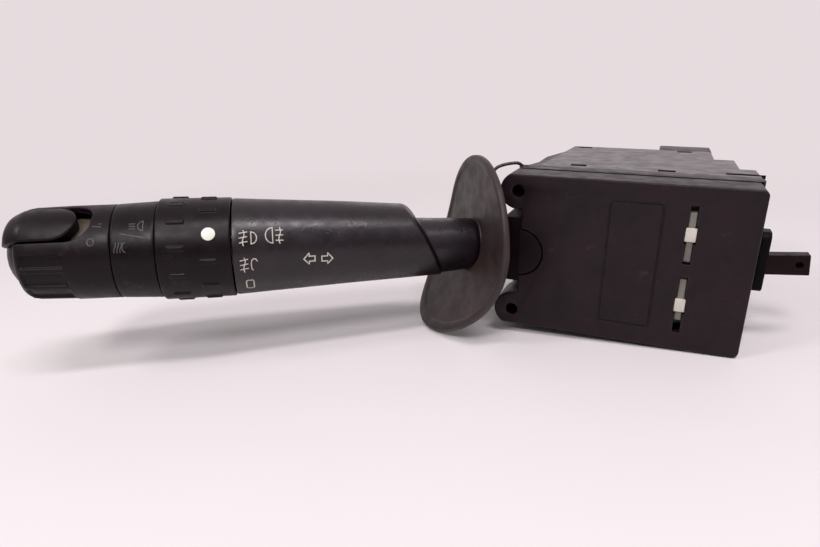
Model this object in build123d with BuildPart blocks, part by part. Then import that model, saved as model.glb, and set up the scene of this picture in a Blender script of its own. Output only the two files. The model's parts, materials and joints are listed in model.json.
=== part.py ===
from build123d import *

import os
from math import cos, pi, radians, sin, tan

# ---------------------------------------------------------------------------
# Combination stalk switch. Millimetres, +Z up.
# The origin lies midway between the two fixing holes, on the front face of the
# switch box. +X runs along the box to the cancelling finger, +Y goes back into
# the box, and the stalk leans out to -X and -Y, towards the driver.
# ---------------------------------------------------------------------------

# Switch box
BOX_LEFT = 1.2            # left edge of the front cover
BOX_RIGHT = 59.6          # right edge of the front cover
BOX_H = 44.0              # height of the box
COVER_D = 12.0            # depth of the front cover
COVER_FACE = 2.2          # thickness of its front wall
WALL = 1.8                # side walls of the cover and the housing
PARTING = 0.3             # gap where the cover meets the housing
HOUSING_LEFT = -3.6       # left side of the housing, beside the stalk
HOUSING_RIGHT = 60.2      # right side of the housing, beside the finger
HOUSING_BACK = 71.5       # back of the housing
STEP_Y = (33.0, 52.0)     # the right side steps in at these depths
STEP_X = (56.2, 50.6)     # and stands at these places behind them
PANEL_Y = 18.5            # front edge of the top panel
PANEL_T = 1.2             # thickness of the top panel
WEB_Y = 30.0              # bearing web across the housing
WEB_T = 3.0
SIDE_OPENING_H = 21.0     # height of the opening for the stalk

# Bare name panel on the front face
NAME_PANEL_X = 30.8
NAME_PANEL = (13.0, 33.8)
NAME_PANEL_DEPTH = 0.3

# Fixing ears
HOLE_SPACING = 35.0
HOLE_R = 1.8
HOLE_D = 9.5              # blind screw holes
EAR_R = 5.2
EAR_T = 11.0

# Stalk. Both swing axes cross at the pivot, and stations are measured from it.
PIVOT = (1.0, 15.8, 0.0)
LEAN = 35.56              # angle from -X towards -Y
RISE = 1.31               # angle up from the box's level
NECK_LIFT = -0.8          # neck axis above the pivot
HANDLE_LIFT = 1.1         # handle axis above the pivot
S_SHROUD = 16.9           # back face of the shroud
S_NECK = 19.0             # inner end of the neck
S_BODY_LOW = 28.3         # slanted inner end of the handle, at the bottom
S_BODY = 38.7             # and at the top
S_FOG = 87.1              # handle to fog-lamp ring
S_LEGEND = 105.5          # fog-lamp ring to legend ring
S_KNOB = 115.8            # legend ring to light knob
S_GRIP = 126.5            # back end of the finger panels
S_GRIP_END = 136.6        # front edge of the light knob
S_TIP = 141.2             # end of the stalk
R_NECK = 7.6              # neck at the shroud
R_NECK_END = 8.2          # neck at the handle
R_BODY = 10.8             # handle at its inner end
R_HANDLE = 13.2           # handle at the fog-lamp ring
R_FOG = 13.5
R_LEGEND = 12.85
R_KNOB = 12.3
SHELL = 1.7               # moulded wall of the handle and the rings
RING_GAP = 0.15           # gap between a ring and its neighbour

# Shroud
R_SHROUD = 26.1
SHROUD_T = 1.4
CURL_START = 8.0          # the plate is flat above this height and curls below it
CURL_R = 46.0             # radius of the curl
CURL_ANGLE = 52.0         # angle round the curl at its lower end
CURL_TWIST = 6.5          # the curl's axis leans by this angle

# Fits
FIT = 0.06                # radial clearance of a running fit
SEAT = 0.02               # radial clearance of a pressed or moulded seat
CLEAR = 0.4               # gap between moving neighbours

# Carrier and lever arm
ARM_R = 5.2
ARM_DUCT_R = 2.9
PIN_R = 2.0
EYE_H = 12.0
JOURNAL_R = 6.5           # carrier's front journal
JOURNAL_BORE = 7.0        # half bearing in the front cover
REAR_PIN_R = 1.9
CHEEK_T = 3.0
CARRIER_LEFT = -4.6
CARRIER_RIGHT = 6.5
PEG_X = 12.0              # drive peg, from the indicator axis
PEG_Z = -7.9
PEG_R = 1.2
TAIL_S = -10.0            # end of the lever arm's tail
TAIL_R = 3.2
PLUNGER_R = 1.44
PLUNGER_S = (-14.6, -7.5)
DETENT_R = 15.05          # radius of the detent track about the pivot
FLASH_X = 9.6
FLASH_Z = 8.6
FLASH_R = 1.3
FLASH_Y = (23.8, 38.6)

# Spine, horn push and contacts in the handle
SPINE_R = 4.0
SPINE_BORE = 3.0
SPINE_S = (44.6, 123.0)
HORN_STEM_R = 2.92
HORN_ANGLES = (30.8, 86.6)   # the push lobe, as angles up from the driver's side
HORN_SLOT_S = 120.2
HORN_LOBE_S = 123.1
HORN_RAISE = 0.3              # the lobe stands above the knob by this much
HORN_TRAVEL = 2.5
SLEEVE_R = R_KNOB - 3.5       # sleeve round the horn spring
SLEEVE_T = 1.6

# Fog-lamp ring
DOT_ANGLE = 30.5          # index dot, up from the driver's side
DOT_S = 92.55
DOT_R = 1.7
FOG_RIBS = 12             # places for ribs round each row; the dot takes one
LIP = 0.4                 # chamfered lips of the fog-lamp ring
FOG_RIB_S = (90.8, 98.4)  # where the two rows of ribs start
FOG_RIB_LENGTH = 4.2

# Cancelling finger, pawls and their guide
FINGER_X = 50.0
FINGER_T = 3.8
FINGER_PIN_R = 1.5
FLANGE_X = (61.6, 63.8)
FLANGE_H = 16.4
FLANGE_Z = 0.8
STUB_H = 5.3
STUB_Z = -0.2              # at the flange, and it rises from there
STUB_TILT = 6.0
STUB_END = 73.7
STUB_HOLE = (71.3, 0.9)    # x and z of the blind hole
STUB_HOLE_D = 2.2
SLOT_X = 44.2
SLOT_W = 1.9
SLOT_Z = (1.7, 17.1)
WINDOW = (2.9, 4.8)       # width and height of the hook windows
HOOK = (2.6, 3.6)         # width and height of the hooks
HOOK_Z = 9.5
PAWL_X = (40.4, 44.4)
PAWL_Z = (5.4, 10.0)
PAWL_LEG = 2.0
GUIDE_X = (39.0, 45.8)
GUIDE_BACK = 12.0
GUIDE_Z = 16.2
GUIDE_WALL = 1.1
GUIDE_NOTCHES = ((-16.2, -13.8), (15.4, 16.2))   # gaps in the guide at the ends of its arms

# Wires from the handle into the housing
WIRE_R = 0.48
GROMMET_R = 1.05
GROMMET_RUN = (2.7, 4.0)   # where the grommet sits on the lead's last run
WIRE_ROUTE = [
    (-7.95, 9.4, 1.5),
    (-8.4, 9.8, 8.6),
    (-10.5, 10.8, 15.0),
    (-10.9, 12.2, 20.9),
    (-7.6, 13.5, 22.6),
    (-1.8, 15.4, 23.2),
    (-1.0, 16.2, 17.0),
]

# Contacts and connector
BOARD_Y = (41.0, 43.0)
SLIDER = (9.0, 10.0)      # width and height of the indicator slider
STRIP_T = 0.5
BLADE = (2.8, 0.8)
CONNECTOR = (16.8, 22.0)
CONNECTOR_DEPTH = 13.4     # how far the socket stands out from the housing

# Worked out
PIVOT_X, PIVOT_Y, PIVOT_Z = PIVOT
FINGER_Y = (PIVOT_Y - FINGER_T / 2, PIVOT_Y + FINGER_T / 2)
BRACKET_Y = (FINGER_Y[1] + 1.5, FINGER_Y[1] + 3.7)
HALF_H = BOX_H / 2
ROOF = HALF_H - PANEL_T
HOUSING_FRONT = COVER_D + PARTING
CHEEK_IN = EYE_H / 2 + CLEAR
CHEEK_OUT = CHEEK_IN + CHEEK_T
CONNECTOR_X = STEP_X[1] - CONNECTOR[0] / 2
CONNECTOR_Z = HALF_H - CONNECTOR[1] / 2
CONNECTOR_BACK = HOUSING_BACK + CONNECTOR_DEPTH
ROW = (CONNECTOR[1] - 2 * WALL - 1.4) / 5     # pitch of the blades' rows
SLEEVE_BORE = SLEEVE_R - SLEEVE_T
CLIP_R = (SPINE_R + SLEEVE_BORE) / 2 - 0.1    # clip on the spine, clear of the sleeve
SLIDER_X = PIVOT_X + PEG_X

stalk = Plane(
    origin=PIVOT,
    x_dir=(sin(radians(LEAN)), -cos(radians(LEAN)), 0),
    z_dir=(
        -cos(radians(LEAN)) * cos(radians(RISE)),
        -sin(radians(LEAN)) * cos(radians(RISE)),
        sin(radians(RISE)),
    ),
)
pieces = []


# --- Planes and simple shapes --------------------------------------------------

def station(s, lift=0.0):
    """Plane across the stalk: local x to the driver, local y up, normal to the tip."""
    centre = stalk.from_local_coords((0, lift, s))
    return Plane(origin=centre, x_dir=stalk.x_dir, z_dir=stalk.z_dir)


def lengthwise(lift):
    """Upright plane through a stalk axis: local x to the tip, local y up."""
    centre = stalk.from_local_coords((0, lift, 0))
    return Plane(origin=centre, x_dir=stalk.z_dir, z_dir=-stalk.x_dir)


def upright(y):
    """Plane parallel to the front face: local x is +X and local y is +Z."""
    return Plane(origin=(0, y, 0), x_dir=(1, 0, 0), z_dir=(0, -1, 0))


def block(x, y, z, mode=Mode.ADD):
    """Box between (low, high) pairs in the part's frame."""
    with BuildSketch(Plane.XY.offset(z[0])) as base:
        with Locations(((x[0] + x[1]) / 2, (y[0] + y[1]) / 2)):
            Rectangle(x[1] - x[0], y[1] - y[0])
    extrude(base.sketch, amount=z[1] - z[0], mode=mode)


def bar(plane, length, radius, bore=0.0, mode=Mode.ADD):
    """Round bar or tube that starts on a plane and runs along its normal."""
    with BuildSketch(plane) as disc:
        Circle(radius)
        if bore:
            Circle(bore, mode=Mode.SUBTRACT)
    extrude(disc.sketch, amount=length, mode=mode)


def bar_back(x, z, y0, y1, radius, mode=Mode.ADD):
    """Round bar along +Y, centred at x and z."""
    with BuildSketch(upright(y0)) as disc:
        with Locations((x, z)):
            Circle(radius)
    extrude(disc.sketch, amount=y0 - y1, mode=mode)


def bar_up(x, y, z0, z1, radius, mode=Mode.ADD):
    """Round bar along +Z, centred at x and y."""
    with BuildSketch(Plane.XY.offset(z0)) as disc:
        with Locations((x, y)):
            Circle(radius)
    extrude(disc.sketch, amount=z1 - z0, mode=mode)


def turned(lift, profile, mode=Mode.ADD):
    """Body of revolution about a stalk axis, from (station, radius) points."""
    plane = lengthwise(lift)
    with BuildSketch(plane) as half:
        with BuildLine():
            Polyline(*profile, close=True)
        make_face()
    revolve(half.sketch, axis=Axis(origin=plane.origin, direction=stalk.z_dir), mode=mode)


def coil(plane, length, radius, wire_r, turns):
    """Compression spring that starts on a plane and runs along its normal."""
    with BuildLine():
        path = Helix(length / turns, length, radius, center=plane.origin, direction=plane.z_dir)
    with BuildSketch(Plane(origin=path @ 0, z_dir=path % 0)) as wire:
        Circle(wire_r)
    sweep(wire.sketch, path=path, is_frenet=True)


def sector(s0, s1, r0, r1, a0, a1, mode=Mode.ADD):
    """Part of a tube on the handle's axis, between two angles up from the driver's side."""
    with BuildSketch(station(s0, HANDLE_LIFT)) as slice_of_ring:
        with BuildLine():
            inner = CenterArc((0, 0), r0, a0, a1 - a0)
            outer = CenterArc((0, 0), r1, a0, a1 - a0)
            Line(inner @ 0, outer @ 0)
            Line(inner @ 1, outer @ 1)
        make_face()
    extrude(slice_of_ring.sketch, amount=s1 - s0, mode=mode)


def keep(builder, name):
    """Label a finished piece and put it on the list to be written."""
    builder.part.label = name
    pieces.append(builder.part)


def lead_entry():
    """Plane at the start of the lead's last run, with its normal along the run."""
    start = Vector(*WIRE_ROUTE[-2])
    return Plane(origin=start, z_dir=Vector(*WIRE_ROUTE[-1]) - start)


# --- Switch box -------------------------------------------------------------------

def ear_places():
    """Centres of the two fixing holes on the front face."""
    return (0, HOLE_SPACING / 2), (0, -HOLE_SPACING / 2)


def front_cover():
    """Tray with fixing ears, a half bearing, two snap slots and a bare name panel."""
    with BuildPart() as cover:
        block((BOX_LEFT, BOX_RIGHT), (0, COVER_D), (-HALF_H, HALF_H))
        fillet(cover.edges().filter_by(Axis.Y).group_by(Axis.X)[-1], 1.6)
        with BuildSketch(upright(0)):
            with Locations(*ear_places()):
                Circle(EAR_R)
            with Locations(*[(BOX_LEFT / 2 + 1, z) for x, z in ear_places()]):
                Rectangle(BOX_LEFT + 2, 2 * EAR_R)
            Rectangle(2 * BOX_RIGHT, BOX_H, mode=Mode.INTERSECT)
        extrude(amount=-EAR_T)
        fillet(cover.faces().sort_by(Axis.Y)[0].edges(), 0.5)
        block((BOX_LEFT + WALL, BOX_RIGHT - WALL), (COVER_FACE, COVER_D),
              (-HALF_H + WALL, HALF_H - WALL), Mode.SUBTRACT)
        half = SIDE_OPENING_H / 2 + 2
        block((-EAR_R, BOX_LEFT + WALL), (COVER_FACE, COVER_D), (-half, half), Mode.SUBTRACT)
        bar_back(PIVOT_X, PIVOT_Z, 0, COVER_FACE, JOURNAL_BORE, Mode.SUBTRACT)
        for x, z in ear_places():
            bar_back(x, z, 0, HOLE_D, HOLE_R, Mode.SUBTRACT)
        with BuildSketch(upright(0)):
            for side in (1, -1):
                with Locations((SLOT_X, side * sum(SLOT_Z) / 2)):
                    Rectangle(SLOT_W, SLOT_Z[1] - SLOT_Z[0])
                with Locations((SLOT_X, side * HOOK_Z)):
                    Rectangle(*WINDOW)
        extrude(amount=-COVER_FACE, mode=Mode.SUBTRACT)
        with BuildSketch(upright(0)):
            with Locations((NAME_PANEL_X, 0)):
                RectangleRounded(*NAME_PANEL, 1.2)
        extrude(amount=-NAME_PANEL_DEPTH, mode=Mode.SUBTRACT)
        bar_back(FINGER_X, PIVOT_Z, COVER_FACE, COVER_D - 0.6, FINGER_PIN_R + 2.0)
        bar_back(FINGER_X, PIVOT_Z, COVER_FACE, COVER_D, FINGER_PIN_R + SEAT, Mode.SUBTRACT)
    keep(cover, "front_cover")


def housing_plan(inset=0.0):
    """Plan of the housing: a stepped right side, and a left side that draws in."""
    left = HOUSING_LEFT + inset
    right = HOUSING_RIGHT - inset
    with BuildLine() as outline:
        Polyline(
            (-1.6 + inset, HOUSING_FRONT),
            (right, HOUSING_FRONT),
            (right, STEP_Y[0] - inset),
            (STEP_X[0] - inset, STEP_Y[0] - inset),
            (STEP_X[0] - inset, STEP_Y[1] - inset),
            (STEP_X[1] - inset, STEP_Y[1] - inset),
            (STEP_X[1] - inset, HOUSING_BACK - inset),
            (4.4 + inset, HOUSING_BACK - inset),
            (1.1 + inset, 58.0),
            (-1.3 + inset, 46.7),
            (-1.3 + inset, 33.5),
            (left, 24.0),
            (left, 15.6),
            close=True,
        )
    make_face(outline.edges())


def main_housing():
    """Open-fronted box with the bearing web, the finger bracket and the stalk opening."""
    half = SIDE_OPENING_H / 2
    with BuildPart() as housing:
        with BuildSketch(Plane.XY.offset(-HALF_H)):
            housing_plan()
        extrude(amount=HALF_H + ROOF)
        with BuildSketch(Plane.XY.offset(ROOF)):
            housing_plan()
            with Locations((0, PANEL_Y - PARTING - HOUSING_BACK)):
                Rectangle(4 * BOX_RIGHT, 2 * HOUSING_BACK, mode=Mode.INTERSECT)
        extrude(amount=PANEL_T)
        fillet(housing.edges().filter_by(Axis.Z).group_by(Axis.X)[-1], 1.4)
        with BuildSketch(Plane.XY.offset(-HALF_H + WALL)):
            housing_plan(WALL)
        extrude(amount=HALF_H + ROOF - 2 * WALL, mode=Mode.SUBTRACT)
        block((HOUSING_LEFT, BOX_LEFT), (HOUSING_FRONT, WEB_Y), (-half, half), Mode.SUBTRACT)
        block((-0.8, STEP_X[0] - 1.0), (WEB_Y, WEB_Y + WEB_T), (1.0 - HALF_H, ROOF - 1.0))
        bar_back(PIVOT_X, PIVOT_Z, WEB_Y, WEB_Y + WEB_T + 1, REAR_PIN_R + FIT, Mode.SUBTRACT)
        bar_back(FLASH_X, FLASH_Z, WEB_Y, WEB_Y + WEB_T, FLASH_R + FIT, Mode.SUBTRACT)
        block((SLIDER_X - 3.0, SLIDER_X + 3.0), (WEB_Y, WEB_Y + WEB_T), (PEG_Z - 3.6, PEG_Z + 3.6),
              Mode.SUBTRACT)
        block((43.0, HOUSING_RIGHT - 1.0), BRACKET_Y, (-8, 8))
        bar_back(FINGER_X, PIVOT_Z, *BRACKET_Y, FINGER_PIN_R + SEAT, Mode.SUBTRACT)
        block((HOUSING_RIGHT - WALL, HOUSING_RIGHT), (FINGER_Y[0] - 0.9, FINGER_Y[1] + 0.9),
              (-5.4, 6.0), Mode.SUBTRACT)
        with BuildSketch(upright(HOUSING_BACK - WALL)):
            with Locations((CONNECTOR_X, CONNECTOR_Z)):
                Rectangle(CONNECTOR[0] - 2 * WALL, CONNECTOR[1] - 2 * WALL)
        extrude(amount=-WALL, mode=Mode.SUBTRACT)
        bar(lead_entry(), COVER_D, GROMMET_R, mode=Mode.SUBTRACT)
    keep(housing, "main_housing")


def top_panel():
    """Flat lid over the housing, with four clip slots and a notch at its front corner."""
    right = HOUSING_RIGHT - 0.2
    with BuildPart() as panel:
        with BuildSketch(Plane.XY.offset(ROOF)):
            with BuildLine():
                Polyline(
                    (1.6, PANEL_Y),
                    (right, PANEL_Y),
                    (right, STEP_Y[0] - 0.2),
                    (STEP_X[0] - 0.2, STEP_Y[0] - 0.2),
                    (STEP_X[0] - 0.2, STEP_Y[1] - 0.2),
                    (STEP_X[1] - 0.2, STEP_Y[1] - 0.2),
                    (STEP_X[1] - 0.2, HOUSING_BACK),
                    (4.4, HOUSING_BACK),
                    close=True,
                )
            make_face()
            with Locations((12.4, 24.5), (36.8, 22.9), (8.7, 69.4), (42.0, 69.4)):
                Rectangle(4.6, 1.2, mode=Mode.SUBTRACT)
            with Locations((56.6, 23.0)):
                Rectangle(9.6, 2.8, mode=Mode.SUBTRACT)
        extrude(amount=PANEL_T)
        fillet(panel.faces().sort_by(Axis.Z)[-1].outer_wire().edges(), 0.3)
    keep(panel, "top_panel")


def connector_shroud():
    """Open socket on the back wall, flush with the top panel."""
    low = CONNECTOR_Z - CONNECTOR[1] / 2
    with BuildPart() as socket:
        with BuildSketch(upright(HOUSING_BACK)):
            with Locations((CONNECTOR_X, CONNECTOR_Z)):
                Rectangle(*CONNECTOR)
                Rectangle(CONNECTOR[0] - 2 * WALL, CONNECTOR[1] - 2 * WALL, mode=Mode.SUBTRACT)
        extrude(amount=HOUSING_BACK - CONNECTOR_BACK)
        block((CONNECTOR_X - 2, CONNECTOR_X + 2), (HOUSING_BACK, CONNECTOR_BACK - 3),
              (low - 1.4, low))
        block((CONNECTOR_X - 4, CONNECTOR_X + 4), (HOUSING_BACK + 5, HOUSING_BACK + 8),
              (low - 2, low + WALL), Mode.SUBTRACT)
    keep(socket, "connector_shroud")


# --- Contacts ------------------------------------------------------------------------

def blade_places():
    """Centres of the blades: two columns of five."""
    return [
        (CONNECTOR_X + column * 2.9, CONNECTOR_Z + row * ROW)
        for column in (-1, 1)
        for row in range(-2, 3)
    ]


def connector_blades():
    """Blades from the contact board out into the socket."""
    start = BOARD_Y[1] + STRIP_T
    end = CONNECTOR_BACK - 6.4
    with BuildPart() as blades:
        with BuildSketch(upright(start)):
            with Locations(*blade_places()):
                Rectangle(*BLADE)
        extrude(amount=start - end)
        with BuildSketch(upright(end)):
            with Locations(*blade_places()):
                Rectangle(BLADE[0] - 0.8, BLADE[1] - 0.3)
        extrude(amount=-1.0)
    keep(blades, "connector_blades")


def terminal_block():
    """Insulating plate that holds the blades where they enter the socket."""
    with BuildPart() as plate:
        with BuildSketch(upright(HOUSING_BACK - WALL)):
            with Locations((CONNECTOR_X, CONNECTOR_Z)):
                Rectangle(CONNECTOR[0] - 2 * WALL - 0.1, CONNECTOR[1] - 2 * WALL - 0.1)
            with Locations(*blade_places()):
                Rectangle(BLADE[0] + 0.06, BLADE[1] + 0.06, mode=Mode.SUBTRACT)
        extrude(amount=-WALL - 1.0)
    keep(plate, "terminal_block")


def contact_board():
    """Board across the housing, with two rails that guide the indicator slider."""
    with BuildPart() as board:
        block((0.9, STEP_X[0] - WALL - 0.1), BOARD_Y,
              (-HALF_H + WALL + 0.1, ROOF - WALL - 0.1))
        for side in (-1, 1):
            x = SLIDER_X + side * (SLIDER[0] / 2 + 0.15 + 0.6)
            block((x - 0.6, x + 0.6), (BOARD_Y[0] - 3.6, BOARD_Y[0]), (PEG_Z - 8, PEG_Z + 8))
    keep(board, "contact_board")


def contact_strips():
    """Brass strips on the back of the board, one for each row of blades."""
    with BuildPart() as strips:
        for row in range(-2, 3):
            z = CONNECTOR_Z + row * ROW
            half = ROW / 2 - 0.6
            left = CONNECTOR_X - 22 - 3 * row
            block((left, CONNECTOR_X + 4.4), (BOARD_Y[1], BOARD_Y[1] + STRIP_T),
                  (z - half, z + half))
    keep(strips, "contact_strips")


def indicator_slider():
    """Slider on the board, moved by the carrier's drive peg."""
    back = BOARD_Y[0] - 0.8
    with BuildPart() as slider:
        block((SLIDER_X - SLIDER[0] / 2, SLIDER_X + SLIDER[0] / 2), (back - 3.6, back),
              (PEG_Z - SLIDER[1] / 2, PEG_Z + SLIDER[1] / 2))
        block((SLIDER_X - 2.6, SLIDER_X + 2.6), (back - 4, back),
              (PEG_Z - PEG_R - 0.16, PEG_Z + PEG_R + 0.16), Mode.SUBTRACT)
    keep(slider, "indicator_slider")
    with BuildPart() as bridge:
        for side in (-1, 1):
            z = PEG_Z + side * 3.2
            block((SLIDER_X - 3.4, SLIDER_X + 3.4), (back, back + 0.4), (z - 0.9, z + 0.9))
    keep(bridge, "indicator_contacts")


def flash_contact():
    """Push rod of the headlamp-flash switch and the brass leaf that it presses."""
    with BuildPart() as rod:
        bar_back(FLASH_X, FLASH_Z, FLASH_Y[0], FLASH_Y[1], FLASH_R)
        fillet(rod.edges().filter_by(GeomType.CIRCLE), 0.3)
    keep(rod, "flash_rod")
    with BuildPart() as leaf:
        block((FLASH_X - 2, FLASH_X + 2), (BOARD_Y[0] - 1.4, BOARD_Y[0] - 1.0), (5.0, 14.0))
        block((FLASH_X - 2, FLASH_X + 2), (BOARD_Y[0] - 1.4, BOARD_Y[0]), (12.6, 14.0))
    keep(leaf, "flash_leaf")


# --- Indicator carrier -----------------------------------------------------------------

def indicator_carrier():
    """Yoke that swings with the indicators: front journal, two cheeks, rear plate and peg."""
    front = COVER_FACE + CLEAR
    rear = WEB_Y - CLEAR
    with BuildPart() as yoke:
        block((CARRIER_LEFT, CARRIER_RIGHT + 2.5), (front, front + 1.8), (-CHEEK_OUT, CHEEK_OUT))
        block((CARRIER_LEFT, CARRIER_RIGHT), (front, rear), (CHEEK_IN, CHEEK_OUT))
        block((CARRIER_LEFT, CARRIER_RIGHT), (front, rear), (-CHEEK_OUT, -CHEEK_IN))
        block((-0.6, CARRIER_RIGHT), (rear - 3.0, rear), (-CHEEK_OUT, CHEEK_OUT))
        block((0, SLIDER_X + 1.5), (rear - 5.0, rear), (-CHEEK_OUT, -CHEEK_IN))
        fillet(yoke.edges().filter_by(Axis.Y).group_by(Axis.X)[0], 1.0)
        bar_back(PIVOT_X, PIVOT_Z, 0.05, front, JOURNAL_R)
        block((PIVOT_X - JOURNAL_R, BOX_LEFT + 0.1), (0, front), (-JOURNAL_R, JOURNAL_R),
              Mode.SUBTRACT)
        bar_back(SLIDER_X, PEG_Z, rear, BOARD_Y[0] - 1.2, PEG_R)
        bar_back(PIVOT_X, PIVOT_Z, rear - 3.0, rear, REAR_PIN_R + SEAT, Mode.SUBTRACT)
        bar_up(PIVOT_X, PIVOT_Y, -CHEEK_OUT, CHEEK_OUT, PIN_R + SEAT, Mode.SUBTRACT)
    keep(yoke, "indicator_carrier")
    with BuildPart() as lever_pin:
        bar_up(PIVOT_X, PIVOT_Y, -CHEEK_OUT, CHEEK_OUT, PIN_R)
    keep(lever_pin, "lever_pin")
    with BuildPart() as rear_pin:
        bar_back(PIVOT_X, PIVOT_Z, rear - 3.0, WEB_Y + WEB_T + 0.4, REAR_PIN_R)
    keep(rear_pin, "carrier_pin")


# --- Lever arm, shroud and handle ---------------------------------------------------------

def lever_arm():
    """Arm with the pivot eye, a plunger bore in its tail, a flash horn and the spine socket."""
    with BuildPart() as arm:
        bar_up(PIVOT_X, PIVOT_Y, -EYE_H / 2, EYE_H / 2, ARM_R)
        bar(station(2.0, NECK_LIFT), SPINE_S[0] - 2.0, ARM_R)
        bar(station(SPINE_S[0] - 1.2, HANDLE_LIFT), 7.0, R_BODY - 2.2)
        bar(station(TAIL_S, NECK_LIFT), 8.0, TAIL_R)
        block((8.0, 11.2), (20.8, FLASH_Y[0] - CLEAR), (-0.5, FLASH_Z + 1.6))
        bar_up(PIVOT_X, PIVOT_Y, -EYE_H / 2, EYE_H / 2, PIN_R + FIT, Mode.SUBTRACT)
        bar(station(TAIL_S - 3, NECK_LIFT), 8.8, PLUNGER_R + FIT, mode=Mode.SUBTRACT)
        bar(station(9.0, NECK_LIFT), SPINE_S[0] - 9.0, ARM_DUCT_R, mode=Mode.SUBTRACT)
        bar(station(SPINE_S[0], HANDLE_LIFT), 7.0, SPINE_R + SEAT, mode=Mode.SUBTRACT)
        bar_up(WIRE_ROUTE[0][0], WIRE_ROUTE[0][1], WIRE_ROUTE[0][2] - 2, ARM_R + 2, WIRE_R + 0.4,
               Mode.SUBTRACT)
    keep(arm, "lever_arm")


def detent():
    """Sprung plunger in the arm's tail, and the hollow track that it bears on."""
    start, end = PLUNGER_S
    with BuildPart() as plunger:
        bar(station(start, NECK_LIFT), end - start, PLUNGER_R)
        fillet(plunger.edges().filter_by(GeomType.CIRCLE), 0.7)
    keep(plunger, "detent_plunger")
    with BuildPart() as spring:
        coil(station(end + 0.35, NECK_LIFT), 2.6, 0.95, 0.18, 4)
    keep(spring, "detent_spring")
    with BuildPart() as track:
        with BuildSketch(station(-19.0)):
            Rectangle(7.6, 8.0)
        extrude(amount=4.8)
        block((12.4, 17.4), (26.4, WEB_Y), (-4.0, 4.0))
        with Locations(PIVOT):
            Sphere(DETENT_R, mode=Mode.SUBTRACT)
    keep(track, "detent_track")


def curl_face(depth):
    """Line down a face of the curled plate, at a depth in front of its back face."""
    radius = CURL_R - depth

    def point(angle):
        return CURL_R - radius * cos(radians(angle)), CURL_START - radius * sin(radians(angle))

    Line((depth, R_SHROUD + 2), (depth, CURL_START))
    ThreePointArc((depth, CURL_START), point(CURL_ANGLE / 2), point(CURL_ANGLE))
    return point(CURL_ANGLE)


def curled_solid(back):
    """Wide curled solid between the plate's front face and a back face, or a flat plane."""
    lean = radians(CURL_TWIST)
    up = stalk.y_dir * cos(lean) + stalk.x_dir * sin(lean)
    side = Plane(origin=station(S_SHROUD, NECK_LIFT).origin, x_dir=stalk.z_dir,
                 z_dir=stalk.z_dir.cross(up))
    top = R_SHROUD + 2
    with BuildSketch(side) as profile:
        with BuildLine() as outline:
            low = curl_face(SHROUD_T)
            if back == 0:
                Line(curl_face(0), low)
            else:
                Polyline((back, top), (back, low[1]), low)
            Line((back, top), (SHROUD_T, top))
        make_face(outline.edges())
    extrude(profile.sketch, amount=R_SHROUD + 4, both=True)


def shroud():
    """Thin round plate on the lever that closes the column slot, curled at the bottom."""
    hub_back = -1.8
    with BuildPart() as hub:
        curled_solid(hub_back)
        bar(station(S_SHROUD + hub_back, NECK_LIFT), 12, R_NECK + 1.6, mode=Mode.INTERSECT)
    with BuildPart() as plate:
        curled_solid(0)
        bar(station(S_SHROUD - 4, NECK_LIFT), 32, R_SHROUD, mode=Mode.INTERSECT)
        add(hub.part)
        bar(station(S_SHROUD - 2, NECK_LIFT), 6, ARM_R + SEAT, mode=Mode.SUBTRACT)
        bar(station(S_NECK - CLEAR, NECK_LIFT), 20, R_NECK + CLEAR, mode=Mode.SUBTRACT)
    keep(plate, "shroud")


def handle_shell():
    """Hollow handle: a slender neck that widens at a slant into a slightly tapered grip."""
    end = S_FOG - RING_GAP
    taper = (R_HANDLE - R_BODY) / (S_FOG - S_BODY)
    root = S_BODY_LOW - 8
    hollow = SPINE_S[0] - 1.5
    slant = (S_BODY - S_BODY_LOW) / (2 * R_BODY)
    with BuildPart() as shell:
        turned(HANDLE_LIFT, [(root, 0), (root, R_BODY - taper * (S_BODY - root)),
                             (end, R_HANDLE), (end, 0)])
        with BuildSketch(lengthwise(HANDLE_LIFT)):
            with BuildLine():
                high = 2 * R_BODY
                Polyline((S_BODY + slant * (high - R_BODY), high),
                         (S_BODY_LOW - slant * (high - R_BODY), -high),
                         (0, -high), (0, high), close=True)
            make_face()
        extrude(amount=2 * R_BODY, both=True, mode=Mode.SUBTRACT)
        turned(NECK_LIFT, [(S_NECK, 0), (S_NECK, R_NECK), (S_BODY, R_NECK_END), (S_BODY, 0)])
        bar(station(S_NECK, NECK_LIFT), hollow - S_NECK + 1, ARM_R + SEAT, mode=Mode.SUBTRACT)
        turned(HANDLE_LIFT, [(hollow, 0), (hollow, R_BODY - SHELL), (end, R_HANDLE - SHELL),
                             (end, 0)], Mode.SUBTRACT)
    keep(shell, "handle_shell")


def spine_and_end_plate():
    """Tube that carries the rings, the plate that steadies it, and its end clip."""
    with BuildPart() as spine:
        bar(station(SPINE_S[0] + 0.1, HANDLE_LIFT), SPINE_S[1] - SPINE_S[0], SPINE_R, SPINE_BORE)
    keep(spine, "spine_tube")
    with BuildPart() as plate:
        bar(station(S_FOG - 3.6, HANDLE_LIFT), 2.4, R_HANDLE - SHELL - 0.2, SPINE_R + SEAT)
        bar(station(S_FOG - 3.6, HANDLE_LIFT), 3.6, SPINE_R + 2, SPINE_R + SEAT)
    keep(plate, "handle_end_plate")
    with BuildPart() as contacts:
        with BuildSketch(station(S_FOG - 1.2, HANDLE_LIFT)):
            for turn in range(3):
                with BuildLine():
                    start = 40 - 120 * turn
                    arc = CenterArc((0, 0), 9.0, start, 80)
                    inner = CenterArc((0, 0), 7.2, start, 80)
                    Line(arc @ 0, inner @ 0)
                    Line(arc @ 1, inner @ 1)
                make_face()
        extrude(amount=0.5)
    keep(contacts, "fog_contacts")


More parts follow.
